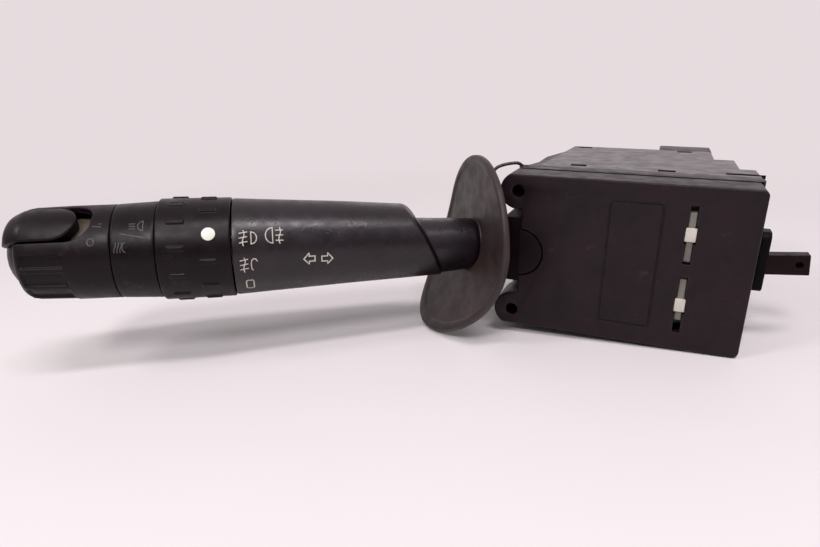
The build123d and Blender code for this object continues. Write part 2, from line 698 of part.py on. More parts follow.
def fog_ring():
    """Fog-lamp ring with two rows of short raised ribs and an inlaid index dot."""
    start = S_FOG + RING_GAP
    end = S_LEGEND - RING_GAP
    dot = (cos(radians(DOT_ANGLE)), sin(radians(DOT_ANGLE)))
    dot_plane = Plane(
        origin=station(DOT_S, HANDLE_LIFT).from_local_coords((9 * dot[0], 9 * dot[1], 0)),
        x_dir=stalk.z_dir,
        z_dir=stalk.x_dir * dot[0] + stalk.y_dir * dot[1],
    )
    with BuildPart() as ring:
        turned(HANDLE_LIFT, [(start, R_FOG - SHELL), (start, R_FOG - LIP), (start + LIP, R_FOG),
                             (end - LIP, R_FOG), (end, R_FOG - LIP), (end, R_FOG - SHELL)])
        bar(station(start + 6, HANDLE_LIFT), 3.0, R_FOG - SHELL + 0.2)
        bar(station(start + 0.6, HANDLE_LIFT), 12.0, SPINE_R + 1.6)
        bar(station(start, HANDLE_LIFT), 16.0, SPINE_R + FIT, mode=Mode.SUBTRACT)
        for row, offset in enumerate(FOG_RIB_S):
            with BuildSketch(station(offset, HANDLE_LIFT)):
                pitch = 360 / FOG_RIBS
                first = DOT_ANGLE + (pitch / 2 if row else pitch)
                count = FOG_RIBS if row else FOG_RIBS - 1
                with PolarLocations(R_FOG - 0.1, count, first, pitch * count):
                    Rectangle(0.7, 0.9)
            extrude(amount=FOG_RIB_LENGTH)
        bar(dot_plane.offset(R_FOG - 9 - 1.2), 3.0, DOT_R + SEAT, mode=Mode.SUBTRACT)
    keep(ring, "fog_ring")
    with BuildPart() as index:
        bar(dot_plane.offset(R_FOG - 9 - 1.18), 1.3, DOT_R)
    keep(index, "fog_dot")
    with BuildPart() as wiper:
        bar(station(start + 0.1, HANDLE_LIFT), 0.5, 7.0, SPINE_R + 1.6 + SEAT)
        for turn in range(3):
            sector(start + 0.1, start + 0.6, 6.9, 9.6, 120 * turn, 120 * turn + 24)
    keep(wiper, "fog_wiper")


def legend_ring():
    """Fixed ring that carries the lighting symbols, on a web seated on the spine."""
    with BuildPart() as ring:
        turned(HANDLE_LIFT, [(S_LEGEND, R_LEGEND - SHELL), (S_LEGEND, R_LEGEND),
                             (S_KNOB, R_KNOB + 0.05), (S_KNOB, R_KNOB - SHELL)])
        bar(station(S_LEGEND + 3, HANDLE_LIFT), 2.4, R_LEGEND - SHELL + 0.2)
        bar(station(S_LEGEND + 3, HANDLE_LIFT), 2.4, SPINE_R + SEAT, mode=Mode.SUBTRACT)
    keep(ring, "legend_ring")
    with BuildPart() as contacts:
        bar(station(S_LEGEND + 5.4, HANDLE_LIFT), 2.2, R_KNOB - SHELL - 0.6, SPINE_R + SEAT)
    keep(contacts, "light_contact_plate")


def light_knob():
    """Rotary knob with moulded finger panels and a slot for the horn push."""
    start = S_KNOB + RING_GAP
    bore = R_KNOB - 1.6
    with BuildPart() as knob:
        turned(HANDLE_LIFT, [(start, bore), (start, R_KNOB), (S_GRIP, R_KNOB - 0.15),
                             (S_GRIP_END - 3.0, R_KNOB - 0.5), (S_GRIP_END - 0.9, R_KNOB - 1.1),
                             (S_GRIP_END, R_KNOB - 2.3), (S_GRIP_END, bore - 0.9),
                             (S_GRIP_END - 4.0, bore - 0.6), (S_GRIP_END - 8.0, bore)])
        bar(station(start + 2.2, HANDLE_LIFT), 3.0, bore + 0.2)
        bar(station(start + 1.2, HANDLE_LIFT), 4.0, SPINE_R + 1.6)
        bar(station(start, HANDLE_LIFT), 8.0, SPINE_R + FIT, mode=Mode.SUBTRACT)
        for panel in range(10):
            high = 17.0 - 26.0 * panel
            sector(S_GRIP, S_GRIP_END - 1.8, R_KNOB - 0.75, R_KNOB + 1, high - 23.5, high - 2.5,
                   Mode.SUBTRACT)
        a0, a1 = HORN_ANGLES
        sector(HORN_SLOT_S, S_GRIP_END + 1, R_KNOB - 4.3, R_KNOB + 1, a0 - 1.8, a1 + 1.8,
               Mode.SUBTRACT)
    keep(knob, "light_knob")
    with BuildPart() as wiper:
        bar(station(start + 0.6, HANDLE_LIFT), 0.6, 7.6, SPINE_R + 1.6 + SEAT)
    keep(wiper, "light_wiper")
    with BuildPart() as clip:
        bar(station(start + 5.7, HANDLE_LIFT), 0.8, CLIP_R, SPINE_R + SEAT)
    keep(clip, "spine_clip")
    with BuildPart() as sleeve:
        bar(station(start + 5.2, HANDLE_LIFT), 4.4, SLEEVE_R, SLEEVE_BORE)
    keep(sleeve, "horn_sleeve")


def horn_push():
    """Sliding end cap with a long thumb lobe and a guide stem, its spring and contact."""
    a0, a1 = HORN_ANGLES
    cap_r = R_KNOB - 2.95
    stem_s = S_KNOB + 0.6
    with BuildPart() as push:
        turned(HANDLE_LIFT, [(S_GRIP_END - 2.4, 0), (S_GRIP_END - 2.4, cap_r - 0.4),
                             (S_GRIP_END - 0.4, cap_r - 0.2), (S_GRIP_END + 1.0, cap_r - 1.2),
                             (S_TIP - 0.9, cap_r - 3.4), (S_TIP, cap_r - 6.0), (S_TIP, 0)])
        sector(HORN_LOBE_S, S_TIP - 2.2, R_KNOB - 2.4, R_KNOB + HORN_RAISE, a0, a1)
        sector(S_GRIP_END - 2.4, S_TIP - 2.2, SPINE_R, R_KNOB - 2.3, a0, a1)
        bar(station(stem_s, HANDLE_LIFT), S_GRIP_END - 2.4 - stem_s, HORN_STEM_R)
    keep(push, "horn_button")
    with BuildPart() as spring:
        coil(station(S_KNOB + 7.6, HANDLE_LIFT), 10.4, SLEEVE_BORE - 0.8, 0.35, 5)
    keep(spring, "horn_spring")
    with BuildPart() as contact:
        bar(station(stem_s - HORN_TRAVEL - 0.4 - 4, HANDLE_LIFT), 4.0, SPINE_BORE - SEAT)
    keep(contact, "horn_contact")


# --- Cancelling mechanism --------------------------------------------------------------------

def cancel_finger():
    """Finger that the column's cam trips, on its pin, with a dust flange and a centring spring."""
    with BuildPart() as finger:
        bar_back(FINGER_X, PIVOT_Z, *FINGER_Y, 4.0)
        block((FINGER_X, FLANGE_X[1]), FINGER_Y, (-2.4, 3.0))
        block((FINGER_X - 9.5, FINGER_X), FINGER_Y, (-3.8, 3.8))
        with BuildSketch(upright(FINGER_Y[0])):
            with Locations(Location((FLANGE_X[0], STUB_Z, 0), (0, 0, STUB_TILT))):
                Rectangle(STUB_END - FLANGE_X[0], STUB_H, align=(Align.MIN, Align.CENTER))
        extrude(amount=-FINGER_T)
        fillet(finger.edges().filter_by(Axis.Y).group_by(Axis.X)[-1], 0.3)
        with BuildSketch(Plane.YZ.offset(FLANGE_X[0])):
            with Locations((PIVOT_Y, FLANGE_Z)):
                RectangleRounded(7.0, FLANGE_H, 2.0)
        extrude(amount=FLANGE_X[1] - FLANGE_X[0])
        bar_back(FINGER_X, PIVOT_Z, *FINGER_Y, FINGER_PIN_R + FIT, Mode.SUBTRACT)
        bar_back(*STUB_HOLE, FINGER_Y[0], FINGER_Y[0] + STUB_HOLE_D, 0.9, Mode.SUBTRACT)
    keep(finger, "cancel_finger")
    with BuildPart() as pin:
        bar_back(FINGER_X, PIVOT_Z, COVER_FACE + 0.1, BRACKET_Y[1] + 0.2, FINGER_PIN_R)
    keep(pin, "finger_pin")
    with BuildPart() as spring:
        coil(Plane(origin=(FINGER_X, FINGER_Y[1] + 0.3, PIVOT_Z), z_dir=(0, 1, 0)), 0.9, 2.4, 0.2,
             1.5)
    keep(spring, "finger_spring")


def pawl_guide():
    """Guide frame behind the front wall, held by two hooked snap arms in the cover's slots."""
    back = COVER_FACE + 0.2
    with BuildPart() as guide:
        block(GUIDE_X, (back, back + 2.0), (-GUIDE_Z, GUIDE_Z))
        block((GUIDE_X[0], GUIDE_X[0] + GUIDE_WALL), (back, GUIDE_BACK), (-GUIDE_Z, GUIDE_Z))
        block((GUIDE_X[1] - GUIDE_WALL, GUIDE_X[1]), (back, GUIDE_BACK), (-GUIDE_Z, GUIDE_Z))
        for side in (-1, 1):
            z0, z1 = sorted((side * (GUIDE_Z - 1.4), side * GUIDE_Z))
            block(GUIDE_X, (back, GUIDE_BACK), (z0, z1))
            z0, z1 = sorted((side * 2.3, side * 15.2))
            block((SLOT_X - 0.8, SLOT_X + 0.8), (0.9, back), (z0, z1))
            z0, z1 = side * HOOK_Z - HOOK[1] / 2, side * HOOK_Z + HOOK[1] / 2
            block((SLOT_X - HOOK[0] / 2, SLOT_X + HOOK[0] / 2), (0.25, back), (z0, z1))
        for z in GUIDE_NOTCHES:
            block((SLOT_X - SLOT_W, SLOT_X + SLOT_W), (0, back + 2.0), z, Mode.SUBTRACT)
    keep(guide, "pawl_guide")


def pawls():
    """Two sprung pawls that slide in the guide, each with a leg beside the finger's tail."""
    for side, name in ((1, "upper"), (-1, "lower")):
        low, high = sorted((side * PAWL_Z[0], side * PAWL_Z[1]))
        leg = sorted((side * PAWL_Z[0], side * (PAWL_Z[0] + PAWL_LEG)))
        with BuildPart() as pawl:
            block(PAWL_X, (COVER_FACE + 2.5, GUIDE_BACK - 0.3), (low, high))
            block((PAWL_X[0] + 0.5, PAWL_X[1] - 0.5), (GUIDE_BACK - 0.5, FINGER_Y[1]), leg)
        keep(pawl, name + "_pawl")
        start = side * (PAWL_Z[1] + 0.4)
        with BuildPart() as spring:
            coil(Plane(origin=(sum(PAWL_X) / 2, 8.2, start), x_dir=(1, 0, 0), z_dir=(0, 0, side)),
                 4.0, 1.4, 0.25, 4)
        keep(spring, name + "_pawl_spring")


# --- Wires ---------------------------------------------------------------------------------------

def bend_radii(route):
    """Radius at each corner, from the shorter of its two runs and the turn there."""
    points = [Vector(*p) for p in route]
    radii = []
    for before, corner, after in zip(points, points[1:], points[2:]):
        run_in = corner - before
        run_out = after - corner
        turn = radians(run_in.get_angle(run_out))
        radii.append(0.45 * min(run_in.length, run_out.length) / tan(turn / 2))
    return radii


def stalk_lead():
    """Lead from the handle that passes over the top of the housing and in at its grommet."""
    radii = bend_radii(WIRE_ROUTE)
    print("lead bend radii, mm:", [round(r, 1) for r in radii])
    with BuildPart() as lead:
        with BuildLine():
            path = FilletPolyline(*WIRE_ROUTE, radius=radii)
        with BuildSketch(Plane(origin=path @ 0, z_dir=path % 0)):
            Circle(WIRE_R)
        sweep(path=path)
    print("lead length, mm:", round(path.length, 1),
          "volume over section:", round(lead.part.volume / (pi * WIRE_R**2), 1))
    keep(lead, "stalk_lead")
    with BuildPart() as grommet:
        bar(lead_entry().offset(GROMMET_RUN[0]), GROMMET_RUN[1] - GROMMET_RUN[0],
            GROMMET_R - SEAT, WIRE_R + SEAT)
    keep(grommet, "lead_grommet")


front_cover()
main_housing()
top_panel()
connector_shroud()
connector_blades()
terminal_block()
contact_board()
contact_strips()
indicator_slider()
flash_contact()
indicator_carrier()
lever_arm()
detent()
shroud()
handle_shell()
spine_and_end_plate()
fog_ring()
legend_ring()
light_knob()
horn_push()
cancel_finger()
pawl_guide()
pawls()
stalk_lead()

os.makedirs("parts", exist_ok=True)
for piece in pieces:
    export_step(piece, f"parts/{piece.label}.step")
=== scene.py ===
import json
from math import asin, cos, degrees, hypot, pi, radians, sin, sqrt

import bmesh
import bpy
from mathutils import Matrix, Vector


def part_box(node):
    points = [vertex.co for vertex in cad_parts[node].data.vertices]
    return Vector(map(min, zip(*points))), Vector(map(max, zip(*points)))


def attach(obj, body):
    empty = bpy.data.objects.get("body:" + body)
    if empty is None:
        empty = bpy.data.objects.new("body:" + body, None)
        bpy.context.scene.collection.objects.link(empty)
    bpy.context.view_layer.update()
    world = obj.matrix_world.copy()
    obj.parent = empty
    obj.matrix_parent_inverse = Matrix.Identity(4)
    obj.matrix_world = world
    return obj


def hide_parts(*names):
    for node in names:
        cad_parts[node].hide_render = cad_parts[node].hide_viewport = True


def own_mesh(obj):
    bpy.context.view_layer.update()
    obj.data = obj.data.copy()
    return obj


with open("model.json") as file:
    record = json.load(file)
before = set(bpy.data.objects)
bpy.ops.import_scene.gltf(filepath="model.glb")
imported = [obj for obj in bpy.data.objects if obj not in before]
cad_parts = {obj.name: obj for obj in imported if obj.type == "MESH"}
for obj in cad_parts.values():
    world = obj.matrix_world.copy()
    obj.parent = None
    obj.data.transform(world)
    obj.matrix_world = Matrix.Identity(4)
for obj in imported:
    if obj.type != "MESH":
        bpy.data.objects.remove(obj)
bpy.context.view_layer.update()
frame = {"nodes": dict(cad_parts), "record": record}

# Combination stalk switch: the looks around the CAD frame. Lengths are in
# millimetres, and MM turns them into metres.
MM = 0.001

# Stalk: stations are measured from the pivot along its axis, and angles go up
# from the driver's side.
PIVOT = Vector((1.0, 15.8, 0.0))
LEAN = radians(35.56)
RISE = radians(1.31)
NECK_LIFT = -0.8
HANDLE_LIFT = 1.1
ALONG = Vector((-cos(LEAN) * cos(RISE), -sin(LEAN) * cos(RISE), sin(RISE)))
DRIVER = Vector((sin(LEAN), -cos(LEAN), 0))
UPWARD = ALONG.cross(DRIVER)

S_SHROUD, S_NECK, S_BODY_LOW, S_BODY = 16.9, 19.0, 28.3, 38.7
S_FOG, S_LEGEND, S_KNOB, S_GRIP, S_GRIP_END, S_TIP = 87.1, 105.5, 115.8, 126.8, 137.9, 141.2
R_NECK, R_NECK_END, R_BODY, R_HANDLE = 7.6, 8.2, 10.8, 13.2
R_FOG, R_LEGEND, R_KNOB = 13.5, 12.85, 12.3
SHELL, RING_GAP = 1.7, 0.15
ARM_R, SPINE_R = 5.2, 4.0

# Shroud: flat above the start of its curl.
R_SHROUD, SHROUD_T = 26.1, 1.4
CURL_START, CURL_R, CURL_TWIST = 8.0, 46.0, radians(6.5)

# Horn push and its slot in the light knob
HORN_A0, HORN_A1 = 30.8, 86.6
HORN_SLOT_S, HORN_LOBE_S, HORN_RAISE, NOSE = 120.2, 124.0, 0.2, 0.7

# Bare name panel on the front face: centre x and z, width, height, corner radius, width of its
# outline, and how far from the front it may show
NAME_PANEL = (30.8, 0.0, 13.0, 33.8, 1.2, 0.5, 0.6)

# Step of the cover's rim, depth along Y and down, and the lid's clip slots in X and Y
RIM = (1.5, 0.8)
CLIP_SLOTS = ((12.4, 24.5), (36.8, 22.9), (8.7, 69.4), (42.0, 69.4))
CLIP_SLOT, CLIP_WIDER = (4.6, 1.2), 2.2
NOTCH = (56.6, 23.0, 9.6, 2.8)

# Housing: its back and floor, and the Y and X of a place on each step of its right side
BACK, FLOOR_Z, RIGHT_STEPS = 71.5, -22.0, ((22.5, 60.2), (42.5, 56.2), (61.5, 50.6))

# Fog-lamp ring: its dot, and two rows of ribs
DOT_ANGLE, DOT_S = 30.5, 92.55
FOG_RIBS, FOG_RIB_S, FOG_RIB_LENGTH = 12, (90.8, 98.4), 4.2

LIP = 0.4       # rounding of the ring's ends and of the slot's edge


# --- Frames and meshes ---

def stalk_point(s, x, y):
    """Point at a station, x to the driver and y up from the pivot, in metres."""
    return (PIVOT + s * ALONG + x * DRIVER + y * UPWARD) * MM


def on_axis(s, angle, r, lift=HANDLE_LIFT):
    """Point round a stalk axis: station, angle in degrees and radius."""
    a = radians(angle)
    return stalk_point(s, r * cos(a), lift + r * sin(a))


def ease(x):
    """Smooth step from 0 to 1."""
    x = min(max(x, 0.0), 1.0)
    return x * x * (3 - 2 * x)


def band(x, low, high, soft):
    """1 between low and high, falling to 0 over a soft edge inside them."""
    return ease((x - low) / soft) * ease((high - x) / soft)


def steps(low, high, count):
    """Even steps from low to high, both among them."""
    return [low + (high - low) * i / count for i in range(count + 1)]


def around(count, turn=360):
    """Even angles round a turn."""
    return [turn * i / count for i in range(count)]


def on_runs(points, s):
    """Value at a station on the straight runs between (station, value) points."""
    for (s0, v0), (s1, v1) in zip(points, points[1:]):
        if s <= s1:
            return v0 + (v1 - v0) * max(s - s0, 0.0) / (s1 - s0)
    return points[-1][1]


def rounding(inset, r):
    """Drop of an edge rounded to a radius, at an inset from where it starts."""
    inward = r - min(max(inset, 0.0), r)
    return r - sqrt(max(r * r - inward * inward, 0.0))


def add_object(name, data):
    """New object in the scene."""
    made = bpy.data.objects.new(name, data)
    bpy.context.scene.collection.objects.link(made)
    return made


def finish_mesh(name, mesh, material, sharp=35):
    """Object from a mesh, smooth but for edges sharper than an angle."""
    mesh.materials.clear()
    mesh.materials.append(material)
    mesh.polygons.foreach_set("use_smooth", [True] * len(mesh.polygons))
    mesh.set_sharp_from_angle(angle=radians(sharp))
    return add_object(name, mesh)


def add_grid(work, rings, joined):
    """Add the faces between closed rings of points, joined end to end or capped."""
    rows = [[work.verts.new(p) for p in ring] for ring in rings]
    pairs = list(zip(rows, rows[1:]))
    if joined:
        pairs.append((rows[-1], rows[0]))
    else:
        work.faces.new(rows[0])
        work.faces.new(rows[-1][::-1])
    for low, high in pairs:
        for i in range(len(low)):
            j = (i + 1) % len(low)
            work.faces.new((low[i], high[i], high[j], low[j]))


def closed_piece(name, work, material, sharp=35):
    """Piece from the closed surfaces in a bmesh, which is freed."""
    bmesh.ops.remove_doubles(work, verts=work.verts, dist=1e-6)
    bmesh.ops.dissolve_degenerate(work, edges=work.edges, dist=1e-7)
    bmesh.ops.recalc_face_normals(work, faces=work.faces)
    mesh = bpy.data.meshes.new(name)
    work.to_mesh(mesh)
    work.free()
    return finish_mesh(name, mesh, material, sharp)


def grid_piece(name, rings, material, joined=False, sharp=35):
    """Piece through closed rings of points, joined end to end or capped at both ends."""
    work = bmesh.new()
    add_grid(work, rings, joined)
    return closed_piece(name, work, material, sharp)


def turned_piece(name, profile, material, lift=HANDLE_LIFT, count=160, joined=True, sharp=35):
    """Piece turned about a stalk axis from (station, radius) points."""
    rings = [[on_axis(s, a, r, lift) for a in around(count)] for s, r in profile]
    return grid_piece(name, rings, material, joined, sharp)


def softened(node, name, material, width, shape):
    """Copy of a CAD node's mesh, with shape applied to it and its edges rounded."""
    mesh = frame["nodes"][node].data.copy()
    if "custom_normal" in mesh.attributes:
        mesh.attributes.remove(mesh.attributes["custom_normal"])
    work = bmesh.new()
    work.from_mesh(mesh)
    flat, corner = radians(1.0), radians(30)
    bmesh.ops.remove_doubles(work, verts=work.verts, dist=2e-6)
    bmesh.ops.dissolve_limit(work, angle_limit=flat, verts=work.verts, edges=work.edges)
    if shape:
        shape(work)
    edges = [e for e in work.edges if e.is_manifold and e.calc_face_angle() > corner]
    bmesh.ops.bevel(work, geom=edges, offset=width * MM, segments=2, profile=0.5,
                    affect="EDGES", clamp_overlap=True)
    bmesh.ops.dissolve_degenerate(work, edges=work.edges, dist=1e-7)
    work.to_mesh(mesh)
    work.free()
    return finish_mesh(name, mesh, material, 50)


# --- Materials ---

class Graph:
    """Short names for building the nodes of a material or a world."""

    def __init__(self, owner, coordinates="Object"):
        owner.use_nodes = True
        self.owner = owner
        self.tree = owner.node_tree
        self.shader = self.tree.nodes.get("Principled BSDF")
        self.where = self.node("ShaderNodeTexCoord").outputs[coordinates]

    def node(self, kind, **settings):
        made = self.tree.nodes.new(kind)
        for key, value in settings.items():
            setattr(made, key, value)
        return made

    def link(self, source, target):
        """Give an input a plain value or another node's output."""
        if isinstance(source, (int, float, tuple)):
            target.default_value = source
        else:
            self.tree.links.new(source, target)

    def give(self, node, **sources):
        """Give a node's inputs, named with _ for a space, and return the node."""
        for key, source in sources.items():
            self.link(source, node.inputs[key.replace("_", " ")])
        return node

    def noise(self, scale, detail=2.0, stretch=None, rough=0.5):
        """Noise in cells per metre, turned and stretched on each axis."""
        place = self.where
        if stretch:
            turn, size = stretch
            place = self.give(self.node("ShaderNodeMapping"), Rotation=turn, Scale=size,
                              Vector=place).outputs["Vector"]
        return self.give(self.node("ShaderNodeTexNoise"), Scale=scale, Detail=detail,
                         Roughness=rough, Vector=place).outputs["Fac"]

    def ramp(self, value, low, high, out_low=0.0, out_high=1.0):
        """Smooth step as a value goes from low to high."""
        made = self.node("ShaderNodeMapRange", interpolation_type="SMOOTHSTEP")
        return self.give(made, Value=value, From_Min=low, From_Max=high, To_Min=out_low,
                         To_Max=out_high).outputs["Result"]

    def math(self, operation, a, b, kind="ShaderNodeMath"):
        made = self.node(kind, operation=operation)
        self.link(a, made.inputs[0])
        self.link(b, made.inputs[1])
        return made.outputs["Value"]

    def measure(self, operation, a, b):
        """Number that an operation gives for two vectors."""
        return self.math(operation, a, b, "ShaderNodeVectorMath")

    def mix(self, factor, a, b):
        """Colour mix."""
        made = self.node("ShaderNodeMix", data_type="RGBA")
        self.link(factor, made.inputs["Factor"])
        self.link(a, made.inputs[6])
        self.link(b, made.inputs[7])
        return made.outputs[2]

    def coat(self, base, mask, amount, colour):
        """Base colour with an amount of another laid over it where a mask is 1."""
        return self.mix(self.math("MULTIPLY", mask, amount), base, rgb(*colour))

    def surface(self, factor, a, b):
        """Give the owner a mix of two shaders as its surface."""
        made = self.node("ShaderNodeMixShader")
        for source, target in zip((factor, a, b), made.inputs):
            self.link(source, target)
        end = self.tree.nodes.get("Material Output") or self.tree.nodes["World Output"]
        self.link(made.outputs[0], end.inputs["Surface"])

    def place(self, axis):
        """Object coordinate along an axis, in metres."""
        made = self.node("ShaderNodeSeparateXYZ")
        self.link(self.where, made.inputs[0])
        return made.outputs[axis]

    def rounded_frame(self, x, z, wide, high, corner, line, depth):
        """1 along the outline of a rounded panel on the front face, in millimetres."""
        outside = []
        math = self.math
        for axis, middle, size in (("X", x, wide), ("Z", z, high)):
            off = math("ABSOLUTE", math("SUBTRACT", self.place(axis), middle * MM), 0.0)
            outside.append(math("SUBTRACT", off, (size / 2 - corner) * MM))
        reach = [math("MAXIMUM", side, 0.0) for side in outside]
        beyond = math("SQRT", math("ADD", *(math("MULTIPLY", r, r) for r in reach)), 0.0)
        within = math("MINIMUM", math("MAXIMUM", *outside), 0.0)
        away = math("SUBTRACT", math("ADD", beyond, within), corner * MM)
        mark = self.ramp(math("ABSOLUTE", away, 0.0), line * 0.4 * MM, line * 0.6 * MM, 1.0, 0.0)
        front = self.ramp(self.place("Y"), 0.5 * depth * MM, depth * MM, 1.0, 0.0)
        return math("MULTIPLY", mark, front)

    def edges(self, radius=0.45):
        """0 on flat places and up to 1 within a radius of an edge."""
        soft = self.give(self.node("ShaderNodeBevel", samples=4), Radius=radius * MM)
        normal = self.node("ShaderNodeNewGeometry").outputs["Normal"]
        return self.ramp(self.measure("DOT_PRODUCT", soft.outputs["Normal"], normal), 1.0, 0.86)

    def bump(self, height, strength, depth, below=None):
        """Normal raised by a height, in millimetres, over another normal."""
        made = self.give(self.node("ShaderNodeBump"), Strength=strength, Distance=depth * MM,
                         Height=height)
        if below:
            self.give(made, Normal=below)
        return made.outputs["Normal"]

    def finish(self, colour, rough, normal, specular=0.5, metallic=0.0):
        """Set the shader, and return the material."""
        self.give(self.shader, Base_Color=colour, Roughness=rough, Normal=normal,
                  Specular_IOR_Level=specular, Metallic=metallic)
        return self.owner


def rgb(r, g, b):
    return (r, g, b, 1.0)


# Colours of what lies on plastic, and of the shade painted into its recesses, along its name
# panel's groove and on the finger's flange
SCUFF, SCRATCH, SPECK = (0.30, 0.27, 0.27), (0.42, 0.39, 0.39), (0.55, 0.52, 0.50)
WORN_EDGE, RECESS_SHADE = (0.20, 0.185, 0.185), (0.045, 0.036, 0.034)
FLANGE_SHADE, GROOVE_SHADE = (0.0016, 0.0010, 0.0012), (0.002, 0.0012, 0.0015)


def moulded(name, colour, rough=0.5, tone=0.25, grain=0.3, grain_scale=2600, pits=0.0,
            wear=0.1, dust=0.12, scratch=0.05, specular=0.5, shade_behind_y=0.0, shade_below_x=0.0,
            name_panel=False):
    """Moulded plastic: tone drift, fine grain, scratches, dust specks and worn edges.

    Painted shade makes it darker behind a Y, where nylon lies back in a recess, and near black on
    the near side of an X, where the finger's flange lies in shade.
    """
    g = Graph(bpy.data.materials.new(name))
    dark = rgb(*(part * (1 - tone) for part in colour))
    light = rgb(*(part * (1 + tone) for part in colour))
    base = g.mix(g.ramp(g.noise(90, 5), 0.35, 0.65), dark, light)
    if shade_below_x:
        # Painted shade: near black on the near side of an X, for a flange that lies in shade
        near = g.ramp(g.place("X"), shade_below_x * MM, (shade_below_x + 0.1) * MM, 1.0, 0.0)
        base = g.mix(near, base, rgb(*FLANGE_SHADE))
    scuffs = g.ramp(g.noise(160, 6, rough=0.75), 0.58, 0.74)
    base = g.coat(base, scuffs, 0.35 * wear, SCUFF)
    lines = g.ramp(g.noise(1.0, 3, ((0.4, 0.2, 0.6), (300, 4200, 2600)), 0.6), 0.66, 0.74)
    lines = g.math("MULTIPLY", lines, g.ramp(g.noise(110, 3), 0.5, 0.62))
    base = g.coat(base, lines, scratch, SCRATCH)
    base = g.coat(base, g.ramp(g.noise(1500, 2), 0.70, 0.78), dust, SPECK)
    edge = g.math("MULTIPLY", g.edges(), g.ramp(g.noise(420, 4), 0.35, 0.62))
    base = g.coat(base, edge, wear, WORN_EDGE)
    if shade_behind_y:
        # Painted shade: darker colour behind a Y, for nylon that lies back in its recess
        depth = g.ramp(g.place("Y"), shade_behind_y * MM, (shade_behind_y + 0.3) * MM)
        base = g.coat(base, depth, 0.72, RECESS_SHADE)
    normal = g.bump(g.noise(grain_scale, 3), grain, 0.03)
    if pits:
        normal = g.bump(g.ramp(g.noise(750, 2), 0.36, 0.30), pits, -0.06, normal)
    normal = g.bump(lines, 0.3, -0.02, normal)
    if name_panel:
        # Painted shade: the name panel's outline is coloured dark as the shade in its groove, which
        # the bump dents
        groove = g.rounded_frame(*NAME_PANEL)
        base = g.coat(base, groove, 0.8, GROOVE_SHADE)
        normal = g.bump(groove, 1.0, -0.25, normal)
    shine = g.ramp(g.noise(260, 5), 0.3, 0.7, rough - 0.07, rough + 0.08)
    return g.finish(base, shine, normal, specular)


def metal(name, colour, rough, tarnish=0.2):
    """Sheet or drawn metal with fine brushing and dull patches."""
    g = Graph(bpy.data.materials.new(name))
    dull = [part * share for part, share in zip(colour, (0.45, 0.42, 0.40))]
    patch = g.ramp(g.noise(380, 5), 0.45, 0.75)
    shine = g.ramp(g.noise(500, 4), 0.3, 0.7, rough - 0.06, rough + 0.12)
    brushed = g.noise(1.0, 2, ((0, 0, 0), (2600, 300, 300)))
    return g.finish(g.coat(rgb(*colour), patch, tarnish, dull), shine,
                    g.bump(brushed, 0.25, 0.01), metallic=1.0)


def paint(name, colour, worn):
    """Printed ink, rubbed away in spots."""
    g = Graph(bpy.data.materials.new(name))
    rubbed = g.ramp(g.noise(1400, 4, rough=0.7), 0.50, 0.66)
    return g.finish(g.coat(rgb(*colour), rubbed, worn, (0.10, 0.09, 0.09)),
                    g.ramp(g.noise(900, 2), 0.3, 0.7, 0.45, 0.65),
                    g.bump(g.noise(3000, 2), 0.2, 0.01))


# The cover's name panel has its outline painted dark as groove shade
COVER = moulded("cover_brown_black", (0.0086, 0.0024, 0.0050), 0.50, grain=0.35, wear=0.16,
                dust=0.035, specular=0.27, name_panel=True)
HOUSING = moulded("housing_black", (0.0086, 0.0030, 0.0052), 0.46, wear=0.18, dust=0.04,
                  scratch=0.06, specular=0.25)
PANEL = moulded("panel_black", (0.036, 0.023, 0.026), 0.38, grain=0.25, wear=0.25,
                scratch=0.25)
# The finger is painted near black below x 63.9 mm, as the shade on its flange by the housing wall
FINGER = moulded("finger_black", (0.0100, 0.0046, 0.0050), 0.50, wear=0.06, dust=0.02,
                 scratch=0.04, specular=0.09, shade_below_x=63.9)
CARRIER = moulded("carrier_black", (0.0075, 0.0034, 0.0042), 0.52, wear=0.06, dust=0.02,
                  scratch=0.04, specular=0.10)
HANDLE = moulded("handle_black", (0.0072, 0.0026, 0.0058), 0.33, grain=0.8, grain_scale=1500,
                 pits=0.35, wear=0.12, dust=0.035, scratch=0.09, specular=0.45)
RINGS = moulded("ring_black", (0.0046, 0.0016, 0.0030), 0.36, grain=0.25, grain_scale=1900,
                wear=0.14, dust=0.04, scratch=0.09, specular=0.18)
KNOB = moulded("knob_black", (0.0050, 0.0018, 0.0036), 0.40, grain=0.22, grain_scale=1900,
               wear=0.18, dust=0.03, scratch=0.09, specular=0.18)
SHROUD = moulded("shroud_grey", (0.0240, 0.0128, 0.0125), 0.50, grain_scale=1900,
                 wear=0.22, dust=0.05, scratch=0.22, specular=0.45)
# The nylon is painted darker from 0.5 mm behind its front, as the shade in its recess
NYLON = moulded("nylon_cream", (0.60, 0.56, 0.49), 0.40, tone=0.06, grain=0.15, wear=0.05,
                dust=0.0, shade_behind_y=0.5)
# Flat black that paints shade: on the cover's joint strip, the lid's slot liners and the legend
# ring's spigot
SHADE_BLACK = moulded("shade_black", (0.0030, 0.0022, 0.0024), 0.8, grain=0.2, wear=0.0, dust=0.01,
               scratch=0.0, specular=0.03)
IVORY = moulded("dot_ivory", (0.80, 0.79, 0.70), 0.35, tone=0.04, grain=0.1, wear=0.04,
                dust=0.0)
BOARD = moulded("board_brown", (0.26, 0.13, 0.055), 0.45, grain=0.15, scratch=0.2)
KHAKI = moulded("sleeve_khaki", (0.075, 0.062, 0.040), 0.45, tone=0.1, grain=0.15, scratch=0.2)
SHEATH = moulded("lead_black", (0.012, 0.009, 0.010), 0.40, grain=0.15, dust=0.03)
